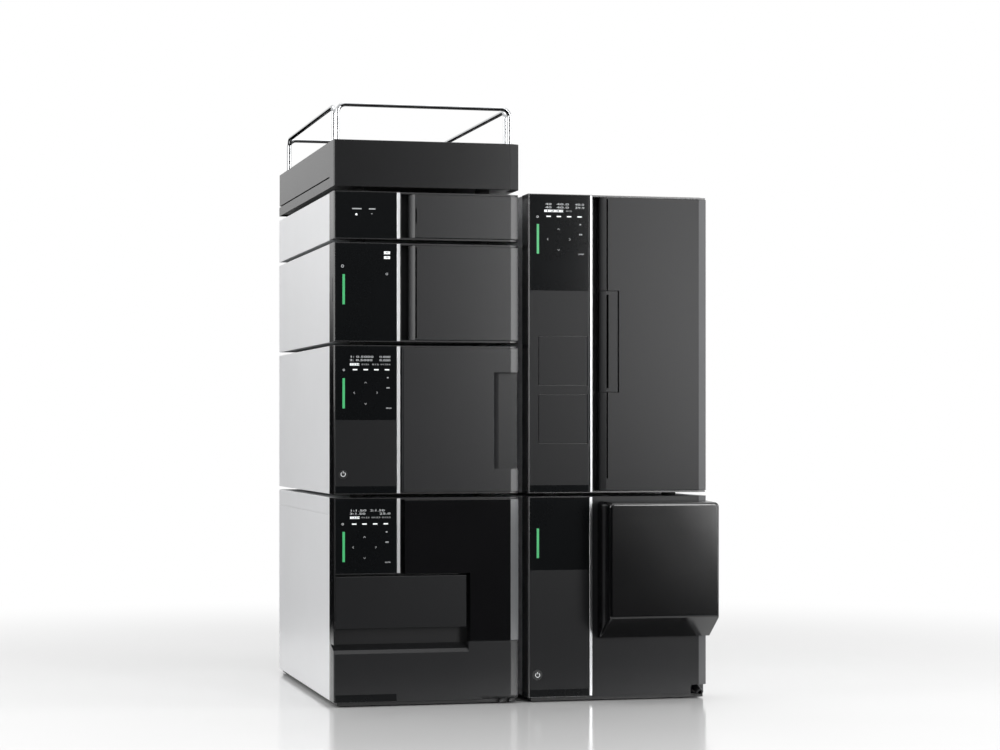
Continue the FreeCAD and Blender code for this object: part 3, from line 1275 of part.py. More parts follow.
def tray_box():
    """Open box for the solvent bottles, with a flat rim turned inwards."""
    low = TRAY_BASE_H + TRAY_SLIT_H
    box = block(0, UNIT_W, BEZEL_D, UNIT_D, low, TRAY_H)
    upright = [e for e in box.Edges if e.BoundBox.ZLength > WALL and e.BoundBox.YMin > BEZEL_D]
    box = box.makeFillet(WALL, upright)
    w = TRAY_WALL
    box = box.cut(block(w, UNIT_W - w, BEZEL_D + w, UNIT_D - w, low + w, TRAY_H - w))
    return box.cut(block(TRAY_RIM, UNIT_W - TRAY_RIM, BEZEL_D + w, UNIT_D - TRAY_RIM, low + w, TRAY_H + OVER))


def tray_base():
    """Base plate, with the raised pad that carries the box and leaves the slit open."""
    base = block(0, UNIT_W, BEZEL_D, UNIT_D, 0, TRAY_BASE_H)
    inset = TRAY_WALL + OVER
    top = TRAY_BASE_H + TRAY_SLIT_H
    front = block(inset, UNIT_W - inset, BEZEL_D, SLIT_Y0, TRAY_BASE_H, top)
    back = block(inset, UNIT_W - inset, SLIT_Y1, UNIT_D - inset, TRAY_BASE_H, top)
    return join(base, front, back)


def hoop(first, last):
    """Rail bent down at both ends, from one foot point to the other."""
    rise = V(0, 0, RAIL_RISE)
    return tube([first, first + rise, last + rise, last], RAIL_R, RAIL_BEND)


def build_tray():
    u = TRAY
    h = TRAY_H
    add("tray_bezel", u, tray_bezel())
    add("tray_box", u, tray_box())
    add("tray_base", u, tray_base())
    for y in END_RAIL_Y:
        add("end_rails", u, hoop(V(END_RAIL_X[0], y, h), V(END_RAIL_X[1], y, h)))
    for x in SIDE_RAIL_X:
        add("side_rails", u, hoop(V(x, SIDE_RAIL_Y[0], h), V(x, SIDE_RAIL_Y[1], h)))


def build_all():
    build_sampler()
    build_pump()
    build_detector()
    build_controller()
    build_tray()
    build_spectrometer()
    build_oven()
    gaps = ((SAMPLER, FLOOR_GAP), (SPECTROMETER, FLOOR_GAP), (PUMP, UNIT_GAP), (DETECTOR, UNIT_GAP),
            (CONTROLLER, UNIT_GAP), (OVEN, UNIT_GAP), (TRAY, TRAY_GAP))
    for unit, gap in gaps:
        add_feet(unit, gap)
    for unit in (SAMPLER, PUMP, DETECTOR, CONTROLLER, SPECTROMETER, OVEN):
        add_inlet(unit)


build_all()
os.makedirs("parts", exist_ok=True)
for name, solids in NODES.items():
    shape = solids[0] if len(solids) == 1 else Part.makeCompound(solids)
    shape.exportStep("parts/" + name + ".step")
    print(name, len(solids), "valid" if shape.isValid() else "NOT VALID", round(shape.Volume))
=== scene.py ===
import bmesh
import bpy
import math
from mathutils import Euler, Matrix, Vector


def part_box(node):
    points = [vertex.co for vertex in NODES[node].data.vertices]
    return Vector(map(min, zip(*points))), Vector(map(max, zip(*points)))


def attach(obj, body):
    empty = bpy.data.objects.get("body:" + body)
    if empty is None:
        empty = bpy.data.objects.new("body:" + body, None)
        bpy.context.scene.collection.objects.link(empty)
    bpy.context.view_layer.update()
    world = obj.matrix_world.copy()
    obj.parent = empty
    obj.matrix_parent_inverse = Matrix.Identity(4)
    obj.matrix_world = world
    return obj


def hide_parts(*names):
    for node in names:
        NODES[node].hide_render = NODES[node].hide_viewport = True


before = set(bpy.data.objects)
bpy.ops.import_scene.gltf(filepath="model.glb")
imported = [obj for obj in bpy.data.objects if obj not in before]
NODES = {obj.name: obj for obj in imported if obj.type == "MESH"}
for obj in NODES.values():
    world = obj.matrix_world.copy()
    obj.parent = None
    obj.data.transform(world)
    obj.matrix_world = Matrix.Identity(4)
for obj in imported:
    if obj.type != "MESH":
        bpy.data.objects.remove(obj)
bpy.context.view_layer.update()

# Places are given in millimetres in a module's own frame: x from its left side, y from its
# front face towards the rear, z from its underside.
MM = 0.001
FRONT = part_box("sampler_bezel")[0].y
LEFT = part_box("sampler_cover")[0].x
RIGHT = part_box("oven_cover")[0].x
MODULE_W = 260.0
MODULE_D = 500.0
LEFT_STACK = ("sampler", "pump", "detector", "controller")
RIGHT_STACK = ("spectrometer", "oven")


def base_of(node):
    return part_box(node)[0].z


UNITS = {
    **{unit: (LEFT, base_of(unit + "_cover")) for unit in LEFT_STACK},
    **{unit: (RIGHT, base_of(unit + "_cover")) for unit in RIGHT_STACK},
    "tray": (LEFT, base_of("tray_base")),
}


def at(unit, x, y, z):
    """A module's own millimetres turned into the place in metres."""
    left, base = UNITS[unit]
    return Vector((left + x * MM, FRONT + y * MM, base + z * MM))


# Materials


class Wire:
    """An output among the nodes; arithmetic on it adds Math nodes."""

    def __init__(self, nodes, socket):
        self.nodes = nodes
        self.socket = socket

    def __add__(self, other):
        return self.nodes.math("ADD", self, other)

    def __radd__(self, other):
        return self.nodes.math("ADD", other, self)

    def __sub__(self, other):
        return self.nodes.math("SUBTRACT", self, other)

    def __rsub__(self, other):
        return self.nodes.math("SUBTRACT", other, self)

    def __mul__(self, other):
        return self.nodes.math("MULTIPLY", self, other)

    def __rmul__(self, other):
        return self.nodes.math("MULTIPLY", other, self)

    def __gt__(self, other):
        return self.nodes.math("GREATER_THAN", self, other)


class Nodes:
    """The nodes of a material or of the surroundings."""

    def __init__(self, tree, coordinates):
        self.tree = tree
        self.tree.nodes.clear()
        self.place = self.node("ShaderNodeTexCoord").outputs[coordinates]

    def node(self, kind, settings=None, inputs=None):
        node = self.tree.nodes.new(kind)
        for key, value in (settings or {}).items():
            if key == "stops":
                self.set_stops(node.color_ramp, value)
            else:
                setattr(node, key, value)
        for key, value in (inputs or {}).items():
            self.feed(node.inputs[key], value)
        return node

    def set_stops(self, ramp, stops):
        while len(ramp.elements) < len(stops):
            ramp.elements.new(1.0)
        for element, (place, colour) in zip(ramp.elements, stops):
            element.position = place
            element.color = (*colour, 1.0)

    def feed(self, socket, value):
        if isinstance(value, Wire):
            self.tree.links.new(value.socket, socket)
        elif isinstance(value, bpy.types.NodeSocket):
            self.tree.links.new(value, socket)
        else:
            socket.default_value = value

    def math(self, operation, *values):
        node = self.node("ShaderNodeMath", {"operation": operation}, dict(enumerate(values)))
        return Wire(self, node.outputs[0])

    def axes(self):
        node = self.node("ShaderNodeSeparateXYZ", None, {0: self.place})
        return [Wire(self, out) for out in node.outputs]

    def slope(self, value, start, end, low=0.0, high=1.0):
        """Smooth change from low to high while the value goes from start to end."""
        node = self.node("ShaderNodeMapRange", {"interpolation_type": "SMOOTHSTEP"},
                         {"Value": value, "From Min": start, "From Max": end,
                          "To Min": low, "To Max": high})
        return Wire(self, node.outputs[0])

    def rays(self):
        """Whether a ray comes from the camera, through glass or off a glossy surface."""
        path = self.node("ShaderNodeLightPath")
        return [Wire(self, path.outputs[kind])
                for kind in ("Is Camera Ray", "Is Transmission Ray", "Is Glossy Ray")]


class Finish(Nodes):
    """The material of one finish and the nodes that make its surface."""

    def __init__(self, name):
        self.material = bpy.data.materials.new(name)
        self.material.use_nodes = True
        super().__init__(self.material.node_tree, "Object")

    def noise(self, scale, detail=2.0, stretch=(1.0, 1.0, 1.0)):
        place = self.node("ShaderNodeMapping", None, {"Vector": self.place, "Scale": stretch})
        node = self.node("ShaderNodeTexNoise", None,
                         {"Vector": place.outputs[0], "Scale": scale, "Detail": detail})
        return Wire(self, node.outputs["Fac"])

    def ramp(self, value, stops):
        node = self.node("ShaderNodeValToRGB", {"stops": stops}, {0: value})
        return node.outputs["Color"]

    def blend(self, mask, first, second):
        node = self.node("ShaderNodeMix", {"data_type": "RGBA"}, {0: mask, 6: first, 7: second})
        return node.outputs[2]

    def bump(self, height, depth_mm, under=None):
        inputs = {"Height": height, "Distance": depth_mm * MM, "Strength": 1.0}
        if under is not None:
            inputs["Normal"] = under
        return self.node("ShaderNodeBump", None, inputs).outputs["Normal"]

    def soft_edges(self, radius_mm):
        return self.node("ShaderNodeBevel", {"samples": 4}, {"Radius": radius_mm * MM}).outputs[0]

    def surface(self, **inputs):
        shader = self.node("ShaderNodeBsdfPrincipled", None,
                           {key.replace("_", " "): value for key, value in inputs.items()})
        self.node("ShaderNodeOutputMaterial", None, {"Surface": shader.outputs[0]})
        return self.material


def tone(colour, factor):
    return tuple(min(1.0, c * factor) for c in colour)


CLOUDS = (14.0, 4.0)
STOP_LOW, STOP_HIGH = 0.3, 0.7
MOULDED_EDGE = 0.4
PAINTED_EDGE = 0.3
METAL_EDGE = 0.2
METAL_UNEVEN = 0.08


def coated(name, colour, rough, grain_mm, spread=0.06, gloss=0.5, grain_size=2600.0,
           spatter=0.012):
    """Painted or moulded surface: fine grain, faint clouding and slightly uneven sheen."""
    f = Finish(name)
    cloud = f.noise(*CLOUDS)
    fine = f.noise(grain_size)
    mottled = f.ramp(cloud * 0.7 + fine * 0.3, [(STOP_LOW, tone(colour, 1 - spread)),
                                                (STOP_HIGH, tone(colour, 1 + spread))])
    normal = f.bump(fine, grain_mm, f.soft_edges(MOULDED_EDGE))
    return f.surface(Base_Color=mottled, Roughness=rough + (cloud - 0.5) * spatter, Normal=normal,
                     Specular_IOR_Level=gloss)


def brushed(name, colour, rough, stretch, depth_mm=0.01):
    """Metal with fine drawn lines along one direction."""
    f = Finish(name)
    lines = f.noise(900.0, 3.0, stretch)
    cloud = f.noise(20.0, 3.0)
    shade = f.ramp(lines * 0.6 + cloud * 0.4, [(STOP_LOW, tone(colour, 0.93)),
                                               (STOP_HIGH, tone(colour, 1.05))])
    normal = f.bump(lines, depth_mm, f.soft_edges(METAL_EDGE))
    return f.surface(Base_Color=shade, Metallic=1.0, Normal=normal,
                     Roughness=rough + (cloud - 0.5) * METAL_UNEVEN)


def lit(name, colour, strength):
    """Lit diffuser with a faintly uneven glow."""
    f = Finish(name)
    cloud = f.noise(60.0)
    glow = f.ramp(cloud, [(0.2, tone(colour, 0.9)), (0.8, tone(colour, 1.05))])
    return f.surface(Base_Color=glow, Emission_Color=glow, Emission_Strength=strength,
                     Roughness=0.35)


def printed(name, colour, strength):
    """Lit mark on the display glass."""
    f = Finish(name)
    cloud = f.noise(400.0, 1.0)
    shade = f.ramp(cloud, [(0.2, tone(colour, 0.94)), (0.8, colour)])
    return f.surface(Base_Color=shade, Emission_Color=shade, Emission_Strength=strength,
                     Roughness=0.4)


def clear_glass(name):
    """Thin borosilicate: clear with a faint uneven sheen."""
    f = Finish(name)
    cloud = f.noise(80.0)
    shade = f.ramp(cloud, [(0.2, (0.86, 0.91, 0.92)), (0.8, (0.93, 0.96, 0.97))])
    return f.surface(Base_Color=shade, Roughness=0.04 + cloud * 0.04, Transmission_Weight=0.85,
                     IOR=1.47)


COVER_PAINT = coated("cover_paint", (0.72, 0.725, 0.735), 0.34, 0.012, spread=0.015,
                     grain_size=1800.0)
CHASSIS_PAINT = coated("chassis_paint", (0.30, 0.31, 0.32), 0.5, 0.03, grain_size=1200.0)
BEZEL_PLASTIC = coated("bezel_plastic", (0.016, 0.0162, 0.0172), 0.27, 0.012, gloss=0.72)
DOOR_PAINT = coated("door_paint", (0.0115, 0.0117, 0.0128), 0.26, 0.008, spread=0.03)
OVEN_DOOR_PAINT = coated("oven_door_paint", (0.011, 0.0112, 0.0122), 0.3, 0.008, spread=0.03,
                         gloss=0.2)
DRAWER_PAINT = coated("drawer_paint", (0.0105, 0.0108, 0.0116), 0.26, 0.008, spread=0.03,
                      gloss=0.35)
PANEL_PLASTIC = coated("panel_plastic", (0.0125, 0.0128, 0.0136), 0.3, 0.01, spread=0.03,
                       gloss=0.15)
LEDGE_PLASTIC = coated("lower_panel_plastic", (0.0115, 0.0118, 0.0127), 0.25, 0.01, spread=0.03)
GLOSS_BLACK = coated("gloss_black", (0.004, 0.004, 0.0045), 0.09, 0.001, spread=0.1,
                     grain_size=300.0, spatter=0.02, gloss=0.35)
SOURCE_GLOSS = coated("source_cover_gloss", (0.0015, 0.0015, 0.0018), 0.135, 0.002, spread=0.08,
                      gloss=0.72, spatter=0.03)
DISPLAY_BLACK = coated("display_black", (0.0045, 0.005, 0.0055), 0.12, 0.001, spread=0.1,
                       grain_size=300.0, spatter=0.02, gloss=0.18)
TRAY_PAINT = coated("tray_paint", (0.0060, 0.0062, 0.0068), 0.24, 0.014, spread=0.03, gloss=0.36)
RUBBER = coated("rubber_black", (0.02, 0.02, 0.02), 0.75, 0.05, grain_size=900.0, gloss=0.3)
WHITE_PLASTIC = coated("white_plastic", (0.7, 0.7, 0.68), 0.45, 0.02)
BLACK_PLASTIC = coated("black_plastic", (0.007, 0.007, 0.0075), 0.35, 0.02)
BRIGHT_STRIP = brushed("bright_strip", (0.60, 0.605, 0.615), 0.36, (1.0, 1.0, 0.02))
STEEL = brushed("turned_steel", (0.70, 0.70, 0.71), 0.36, (1.0, 0.05, 1.0))
CHROME = brushed("rail_chrome", (0.55, 0.56, 0.57), 0.1, (1.0, 1.0, 1.0), depth_mm=0.0005)
GREEN_LIGHT = lit("green_light", (0.03, 0.28, 0.095), 0.65)
WHITE_MARK = printed("lit_marks", (0.72, 0.74, 0.75), 0.5)
GREY_MARK = printed("grey_marks", (0.42, 0.43, 0.44), 0.36)
DIM_MARK = printed("dim_marks", (0.34, 0.35, 0.36), 0.22)
VIAL_GLASS = clear_glass("vial_glass")

BY_SLOT = {
    "cover_paint": COVER_PAINT, "chassis_paint": CHASSIS_PAINT, "bezel_plastic": BEZEL_PLASTIC,
    "door_paint": DOOR_PAINT, "gloss_black": GLOSS_BLACK, "display_black": DISPLAY_BLACK,
    "bright_strip": BRIGHT_STRIP, "green_light": GREEN_LIGHT, "rubber_black": RUBBER,
    "steel": STEEL, "rail_chrome": CHROME, "tray_paint": TRAY_PAINT,
    "white_plastic": WHITE_PLASTIC, "black_plastic": BLACK_PLASTIC, "vial_glass": VIAL_GLASS,
}


def two_tone(name, low_paint, high_paint, axis, border, low_rough, high_rough, gloss=0.5):
    """Paint that changes across a border along one axis, as where a satin band meets gloss; below
    it also carries a painted reflection on the right-hand bands and painted shade at the plinths.
    """
    f = Finish(name)
    beyond = f.axes()["xyz".index(axis)] > border
    cloud = f.noise(*CLOUDS)
    fine = f.noise(1800.0)
    shades = [f.ramp(cloud, [(STOP_LOW, tone(paint, 0.94)), (STOP_HIGH, tone(paint, 1.06))])
              for paint in (low_paint, high_paint)]
    rough = beyond * (high_rough - low_rough) + low_rough
    return f.surface(Base_Color=f.blend(beyond, *shades), Specular_IOR_Level=gloss,
                     Roughness=rough + (cloud - 0.5) * 0.02,
                     Normal=f.bump(fine, 0.002, f.soft_edges(PAINTED_EDGE)))


BAND_X = MODULE_W - 12.4
BEZEL_SKIN = 1.2
PAINTED_SHADE_TOP = 0.0165
# Sampler door: gloss black, and on the slanted right band a light grey base colour. That grey is a
# painted reflection of the right-hand light where the band lies in the source cover's shade.
SAMPLER_GLOSS_WITH_PAINTED_REFLECTION = two_tone("sampler_door_gloss", (0.0045, 0.0045, 0.005), (0.13, 0.133, 0.137), "x",
                         LEFT + BAND_X * MM, 0.1, 0.33)
TRAY_TWO_TONE = two_tone("tray_front_paint", (0.0060, 0.0062, 0.0068), (0.010, 0.0105, 0.0115),
                         "x", LEFT + BAND_X * MM, 0.24, 0.6, 0.36)
# Oven door and spectrometer front: the lighter grey of the slanted right band is a painted
# reflection of the right-hand light.
OVEN_PAINTED_REFLECTION_BAND = two_tone("oven_door_paint_banded", (0.011, 0.0112, 0.0122),
                         (0.062, 0.063, 0.066), "x", RIGHT + BAND_X * MM, 0.3, 0.3, 0.2)
SIDE_GLOSS = two_tone("bezel_with_gloss_side", (0.007, 0.007, 0.0075), (0.016, 0.0162, 0.0172),
                      "x", LEFT + BEZEL_SKIN * MM, 0.1, 0.27)
# The chassis below the border height is painted near black. This is painted shade at the plinth,
# under the module and next to the floor. Above the border it is the chassis grey.
PLINTH_PAINTED_SHADE = two_tone("plinth_paint", (0.006, 0.006, 0.0065), (0.30, 0.31, 0.32), "z",
                        PAINTED_SHADE_TOP, 0.5, 0.5)
BY_NODE = {
    **{unit + "_bezel": SIDE_GLOSS for unit in LEFT_STACK},
    "lower_panels": PANEL_PLASTIC, "hatch_covers": PANEL_PLASTIC, "source_cover": SOURCE_GLOSS,
    "sampler_lower_panel": LEDGE_PLASTIC, "sampler_drawer": DRAWER_PAINT,
    "sampler_door": SAMPLER_GLOSS_WITH_PAINTED_REFLECTION, "oven_door": OVEN_PAINTED_REFLECTION_BAND, "oven_handle": OVEN_DOOR_PAINT,
    "tray_bezel": TRAY_TWO_TONE, "spectrometer_front": OVEN_PAINTED_REFLECTION_BAND,
    "sampler_chassis": PLINTH_PAINTED_SHADE, "spectrometer_chassis": PLINTH_PAINTED_SHADE,
}

for name, node in NODES.items():
    for place in node.material_slots:
        slot = place.material.name.split(".")[0]
        place.material = BY_NODE.get(name, BY_SLOT.get(slot, BEZEL_PLASTIC))


# Modelling by hand: a primitive, shaped in edit mode and finished


def fresh():
    """Object mode with nothing selected."""
    if bpy.context.mode != "OBJECT":
        bpy.ops.object.mode_set(mode="OBJECT")
    bpy.ops.object.select_all(action="DESELECT")


def shape(kind):
    """Edit mode of the active piece with nothing selected."""
    bpy.ops.object.mode_set(mode="EDIT")
    bpy.ops.mesh.select_mode(type=kind)
    bpy.ops.mesh.select_all(action="DESELECT")


def pick(kind, test):
    """Selects each vertex, edge or face whose middle passes the test."""
    mesh = bmesh.from_edit_mesh(bpy.context.active_object.data)
    for item in getattr(mesh, kind):
        ends = [item] if kind == "verts" else list(item.verts)
        middle = sum((v.co for v in ends), Vector()) / len(ends)
        if test(middle):
            item.select_set(True)
    bmesh.update_edit_mesh(bpy.context.active_object.data)


def pull(x=0.0, y=0.0, z=0.0):
    """Extrudes what is selected by that many millimetres."""
    bpy.ops.mesh.extrude_region_move(
        TRANSFORM_OT_translate={"value": (x * MM, y * MM, z * MM)})


def done(smooth_degrees=None):
    """Leaves edit mode with the normals outwards."""
    bpy.ops.mesh.select_all(action="SELECT")
    bpy.ops.mesh.normals_make_consistent(inside=False)
    bpy.ops.object.mode_set(mode="OBJECT")
    if smooth_degrees is not None:
        bpy.ops.object.shade_smooth_by_angle(angle=math.radians(smooth_degrees))
    return bpy.context.active_object


def joined(pieces):
    fresh()
    for piece in pieces:
        piece.select_set(True)
    bpy.context.view_layer.objects.active = pieces[0]
    if len(pieces) > 1:
        bpy.ops.object.join()
    return pieces[0]


def copied(piece, x=0.0, y=0.0, z=0.0):
    """Copy with its own mesh, moved in millimetres."""
    fresh()
    piece.select_set(True)
    bpy.context.view_layer.objects.active = piece
    bpy.ops.object.duplicate(linked=False)
    bpy.ops.transform.translate(value=(x * MM, y * MM, z * MM))
    bpy.ops.object.transform_apply(location=True, rotation=True, scale=True)
    return bpy.context.active_object


def keep(piece, name, finish, body, slot, *nodes):
    """Names the finished piece and ties it to the frame."""
    fresh()
    piece.select_set(True)
    bpy.context.view_layer.objects.active = piece
    bpy.ops.object.transform_apply(location=True, rotation=True, scale=True)
    piece.name = piece.data.name = name
    piece.data.materials.clear()
    piece.data.materials.append(finish)
    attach(piece, body)
    if nodes:
        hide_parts(*nodes)


# Rails of the bottle tray

RAIL_R = 3.0
RAIL_BEND = 11.0
FLANGE_R = 4.6
FLANGE_H = 1.2
BEND_STEPS = 8


def bent_rail(foot, along, length, rise):
    """Tube that goes up from its foot, along, and down again. Lengths in millimetres."""
    fresh()
    bpy.ops.mesh.primitive_circle_add(vertices=24, radius=FLANGE_R * MM, fill_type="NGON",
                                      location=foot)
    bpy.ops.object.transform_apply(location=True)
    shape("FACE")
    bpy.ops.mesh.select_all(action="SELECT")
    pull(z=FLANGE_H)
    bpy.ops.mesh.inset(thickness=(FLANGE_R - RAIL_R) * MM)
    pull(z=rise - RAIL_R - RAIL_BEND - FLANGE_H)
    up = Vector((0.0, 0.0, 1.0))
    corner = foot + up * (rise - RAIL_R - RAIL_BEND) * MM
    axis = up.cross(along)
    bpy.ops.mesh.spin(steps=BEND_STEPS, angle=math.pi / 2, axis=-axis,
                      center=corner + along * RAIL_BEND * MM)
    run = along * (length - 2 * RAIL_BEND)
    pull(*run)
    corner = corner + along * (length - RAIL_BEND) * MM
    bpy.ops.mesh.spin(steps=BEND_STEPS, angle=math.pi / 2, axis=-axis, center=corner)
    pull(z=-(rise - RAIL_R - RAIL_BEND - FLANGE_H))
    return done(40.0)


def tray_rails():
    sides = {"end_rails": Vector((1.0, 0.0, 0.0)), "side_rails": Vector((0.0, 1.0, 0.0))}
    for node, along in sides.items():
        low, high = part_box(node)
        inner = Vector((RAIL_R, RAIL_R, 0.0)) * MM
        first = low + inner
        last = Vector((high.x, high.y, low.z)) - inner
        across = Vector((1.0, 1.0, 0.0)) - along
        offset = Vector([(last - first)[k] * across[k] for k in range(3)])
        length = (last - first).dot(along) / MM
        rise = (high.z - low.z) / MM
        rails = [bent_rail(foot, along, length, rise) for foot in (first, first + offset)]
        keep(joined(rails), node.replace("rails", "tubes"), CHROME, "stacks", "rail_chrome", node)


tray_rails()


# Feet under each module

FOOT_R = 10.0
FOOT_IN_X = 41.4
FOOT_IN_Y = 50.0
FOOT_EDGE = 1.2
FEET = [("sampler", 6.5), ("spectrometer", 6.5), ("pump", 5.0), ("detector", 5.0),
        ("controller", 5.0), ("oven", 5.0), ("tray", 6.5)]


def rubber_foot(unit, height):
    fresh()
    bpy.ops.mesh.primitive_circle_add(vertices=32, radius=(FOOT_R - FOOT_EDGE) * MM,
                                      fill_type="NGON",
                                      location=at(unit, FOOT_IN_X, FOOT_IN_Y, -height))
    bpy.ops.object.transform_apply(location=True)
    shape("FACE")
    bpy.ops.mesh.select_all(action="SELECT")
    pull(z=FOOT_EDGE)
    grow = FOOT_R / (FOOT_R - FOOT_EDGE)
    bpy.ops.transform.resize(value=(grow, grow, 1.0),
                             center_override=at(unit, FOOT_IN_X, FOOT_IN_Y, FOOT_EDGE - height))
    pull(z=height - FOOT_EDGE)
    return done(30.0)


def rubber_feet():
    feet = []
    far_x = MODULE_W - 2 * FOOT_IN_X
    far_y = MODULE_D - 2 * FOOT_IN_Y
    for unit, height in FEET:
        first = rubber_foot(unit, height)
        feet += [first, copied(first, x=far_x), copied(first, y=far_y),
                 copied(first, x=far_x, y=far_y)]
    keep(joined(feet), "round_feet", RUBBER, "stacks", "rubber_black", "rubber_feet")


rubber_feet()


# Sample vials with their caps

VIAL_R = 6.0
VIAL_EDGE = 1.0
SHOULDER_DOWN = 10.0
SHOULDER_H = 3.0
NECK_R = 3.7
NECK_H = 6.5
VIALS_A_SIDE = 4
CAP_R = 4.6
CAP_H = 5.0
CAP_CRIMP_H = 0.8
CAP_CRIMP = 0.94
CAP_EDGE_H = 0.6
CAP_EDGE = 0.86
SEPTUM_RIM = CAP_R * 0.8 - 2.4
SEPTUM_DOWN = 0.9


def shrink(share, place):
    """Scales what is selected across the upright axis through a place."""
    bpy.ops.transform.resize(value=(share, share, 1.0), center_override=place)


def vial_cap(x, y, z):
    """Crimped cap with a sunk septum; its foot is at x, y, z in metres."""
    fresh()
    bpy.ops.mesh.primitive_circle_add(vertices=24, radius=CAP_R * MM, fill_type="NGON",
                                      location=(x, y, z))
    bpy.ops.object.transform_apply(location=True)
    shape("FACE")
    bpy.ops.mesh.select_all(action="SELECT")
    pull(z=CAP_CRIMP_H)
    shrink(CAP_CRIMP, (x, y, z + CAP_CRIMP_H * MM))
    pull(z=CAP_H - CAP_CRIMP_H - CAP_EDGE_H)
    pull(z=CAP_EDGE_H)
    shrink(CAP_EDGE, (x, y, z + CAP_H * MM))
    bpy.ops.mesh.inset(thickness=SEPTUM_RIM * MM)
    pull(z=-SEPTUM_DOWN)
    return done(35.0)


def round_vial(x, y, z, tall):
    """Round glass with a shoulder and a neck; its foot is at x, y, z in metres."""
    fresh()
    bpy.ops.mesh.primitive_circle_add(vertices=28, radius=(VIAL_R - VIAL_EDGE) * MM,
                                      fill_type="NGON", location=(x, y, z))
    bpy.ops.object.transform_apply(location=True)
    shape("FACE")
    bpy.ops.mesh.select_all(action="SELECT")
    pull(z=VIAL_EDGE)
    shrink(VIAL_R / (VIAL_R - VIAL_EDGE), (x, y, z + VIAL_EDGE * MM))
    pull(z=tall - SHOULDER_DOWN - VIAL_EDGE)
    pull(z=SHOULDER_H)
    shrink(NECK_R / VIAL_R, (x, y, z))
    pull(z=NECK_H)
    return done(35.0)


def vials_in_rack():
    low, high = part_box("sample_vials")
    inner = Vector((VIAL_R, VIAL_R, 0.0)) * MM
    x, y, z = low + inner
    pitch = (high - low - inner * 2) / (VIALS_A_SIDE - 1) / MM

    def in_every_place(first):
        return joined([first] + [
            copied(first, x=pitch.x * (k % VIALS_A_SIDE), y=pitch.y * (k // VIALS_A_SIDE))
            for k in range(1, VIALS_A_SIDE ** 2)])

    caps = in_every_place(vial_cap(x, y, high.z - CAP_H * MM))
    keep(caps, "vial_caps", STEEL, "sampler_drawer", "steel")
    vials = in_every_place(round_vial(x, y, z, (high.z - low.z) / MM))
    keep(vials, "round_vials", VIAL_GLASS, "sampler_drawer", "vial_glass", "sample_vials")


vials_in_rack()


# Screws of the rear walls

SCREW_R = 3.4
SCREW_H = 1.6
SOCKET_R = 1.7
SCREW_IN = 13.0
SCREW_HEAD = 0.8
SOCKET_DEPTH = 0.7
REAR_UNITS = {"pump": 203.0, "detector": 135.0, "controller": 65.0, "oven": 415.0,
              "sampler": 278.5, "spectrometer": 278.5}


def panel_screw(place):
    """Button head with a sunk round socket, on a rear wall."""
    fresh()
    bpy.ops.mesh.primitive_circle_add(vertices=24, radius=SCREW_R * MM, fill_type="NGON",
                                      rotation=(math.pi / 2, 0.0, 0.0), location=place)
    bpy.ops.object.transform_apply(location=True, rotation=True)
    shape("FACE")
    bpy.ops.mesh.select_all(action="SELECT")
    pull(y=SCREW_H / 2)
    pull(y=SCREW_H / 2)
    far = place + Vector((0.0, SCREW_H * MM, 0.0))
    bpy.ops.transform.resize(value=(SCREW_HEAD, 1.0, SCREW_HEAD), center_override=far)
    bpy.ops.mesh.inset(thickness=(SCREW_R * SCREW_HEAD - SOCKET_R) * MM)
    pull(y=-SCREW_H * SOCKET_DEPTH)
    return done(35.0)


def rear_screws():
    screws = []
    for unit, tall in REAR_UNITS.items():
        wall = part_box(unit + "_chassis")[1].y
        corner = at(unit, SCREW_IN, 0.0, SCREW_IN)
        corner.y = wall
        first = panel_screw(corner)
        far_x = MODULE_W - 2 * SCREW_IN
        far_z = tall - 2 * SCREW_IN
        screws += [first, copied(first, x=far_x), copied(first, z=far_z),
                   copied(first, x=far_x, z=far_z)]
    keep(joined(screws), "rear_screws", STEEL, "stacks", "steel")


rear_screws()


# Marks on the display glass

MARK_T = 0.2
MARK_SUNK = 0.1
ARROW_W = 3.0
ARROW_LINE = 0.55
ARROW_RISE = 1.7
DIGIT_SIZE = 3.9
TAB_DIGIT_SIZE = DIGIT_SIZE * 0.85
TAB_NAME_SIZE = DIGIT_SIZE * 0.7
KEY_NAME_SIZE = DIGIT_SIZE * 0.66
FIELD_DIGIT_SIZE = DIGIT_SIZE * 0.6
DIGIT_PITCH = 2.7
DASH = (6.4, 1.7, 0.51)
TAB_H = 3.2
TAB_EDGE = 0.7
TAB_DIGITS_IN = 1.7
TAB_DIGITS_DOWN = 0.1
HOME_KEY = (2.4, 1.7, 0.7)
MENU_KEY = (1.8, 1.8, 0.4)
MENU_KEY_OFF = 1.2
ENTER_W = 7.6
ENTER_IN = 3.0
TOUCH_RING = (1.5, 0.6)
POWER_R = 3.3
POWER_LINE = 0.55
POWER_GAP = 3.4
POWER_BAR_H = 2.8
POWER_BAR_UP = 2.8


def printed_plate(unit, x, z, wide, tall, corner=0.0):
    """Plate of a mark, centred at x and z on the front face."""
    fresh()
    bpy.ops.mesh.primitive_plane_add(size=MM, rotation=(math.pi / 2, 0.0, 0.0))
    plate = bpy.context.active_object
    plate.scale = (wide, tall, 1.0)
    plate.location = at(unit, x, -MARK_T, z)
    bpy.ops.object.transform_apply(location=True, rotation=True, scale=True)
    shape("FACE")
    bpy.ops.mesh.select_all(action="SELECT")
    if corner:
        bpy.ops.mesh.bevel(offset=corner * MM, segments=3, affect="VERTICES")
    pull(y=MARK_T + MARK_SUNK)
    return done()


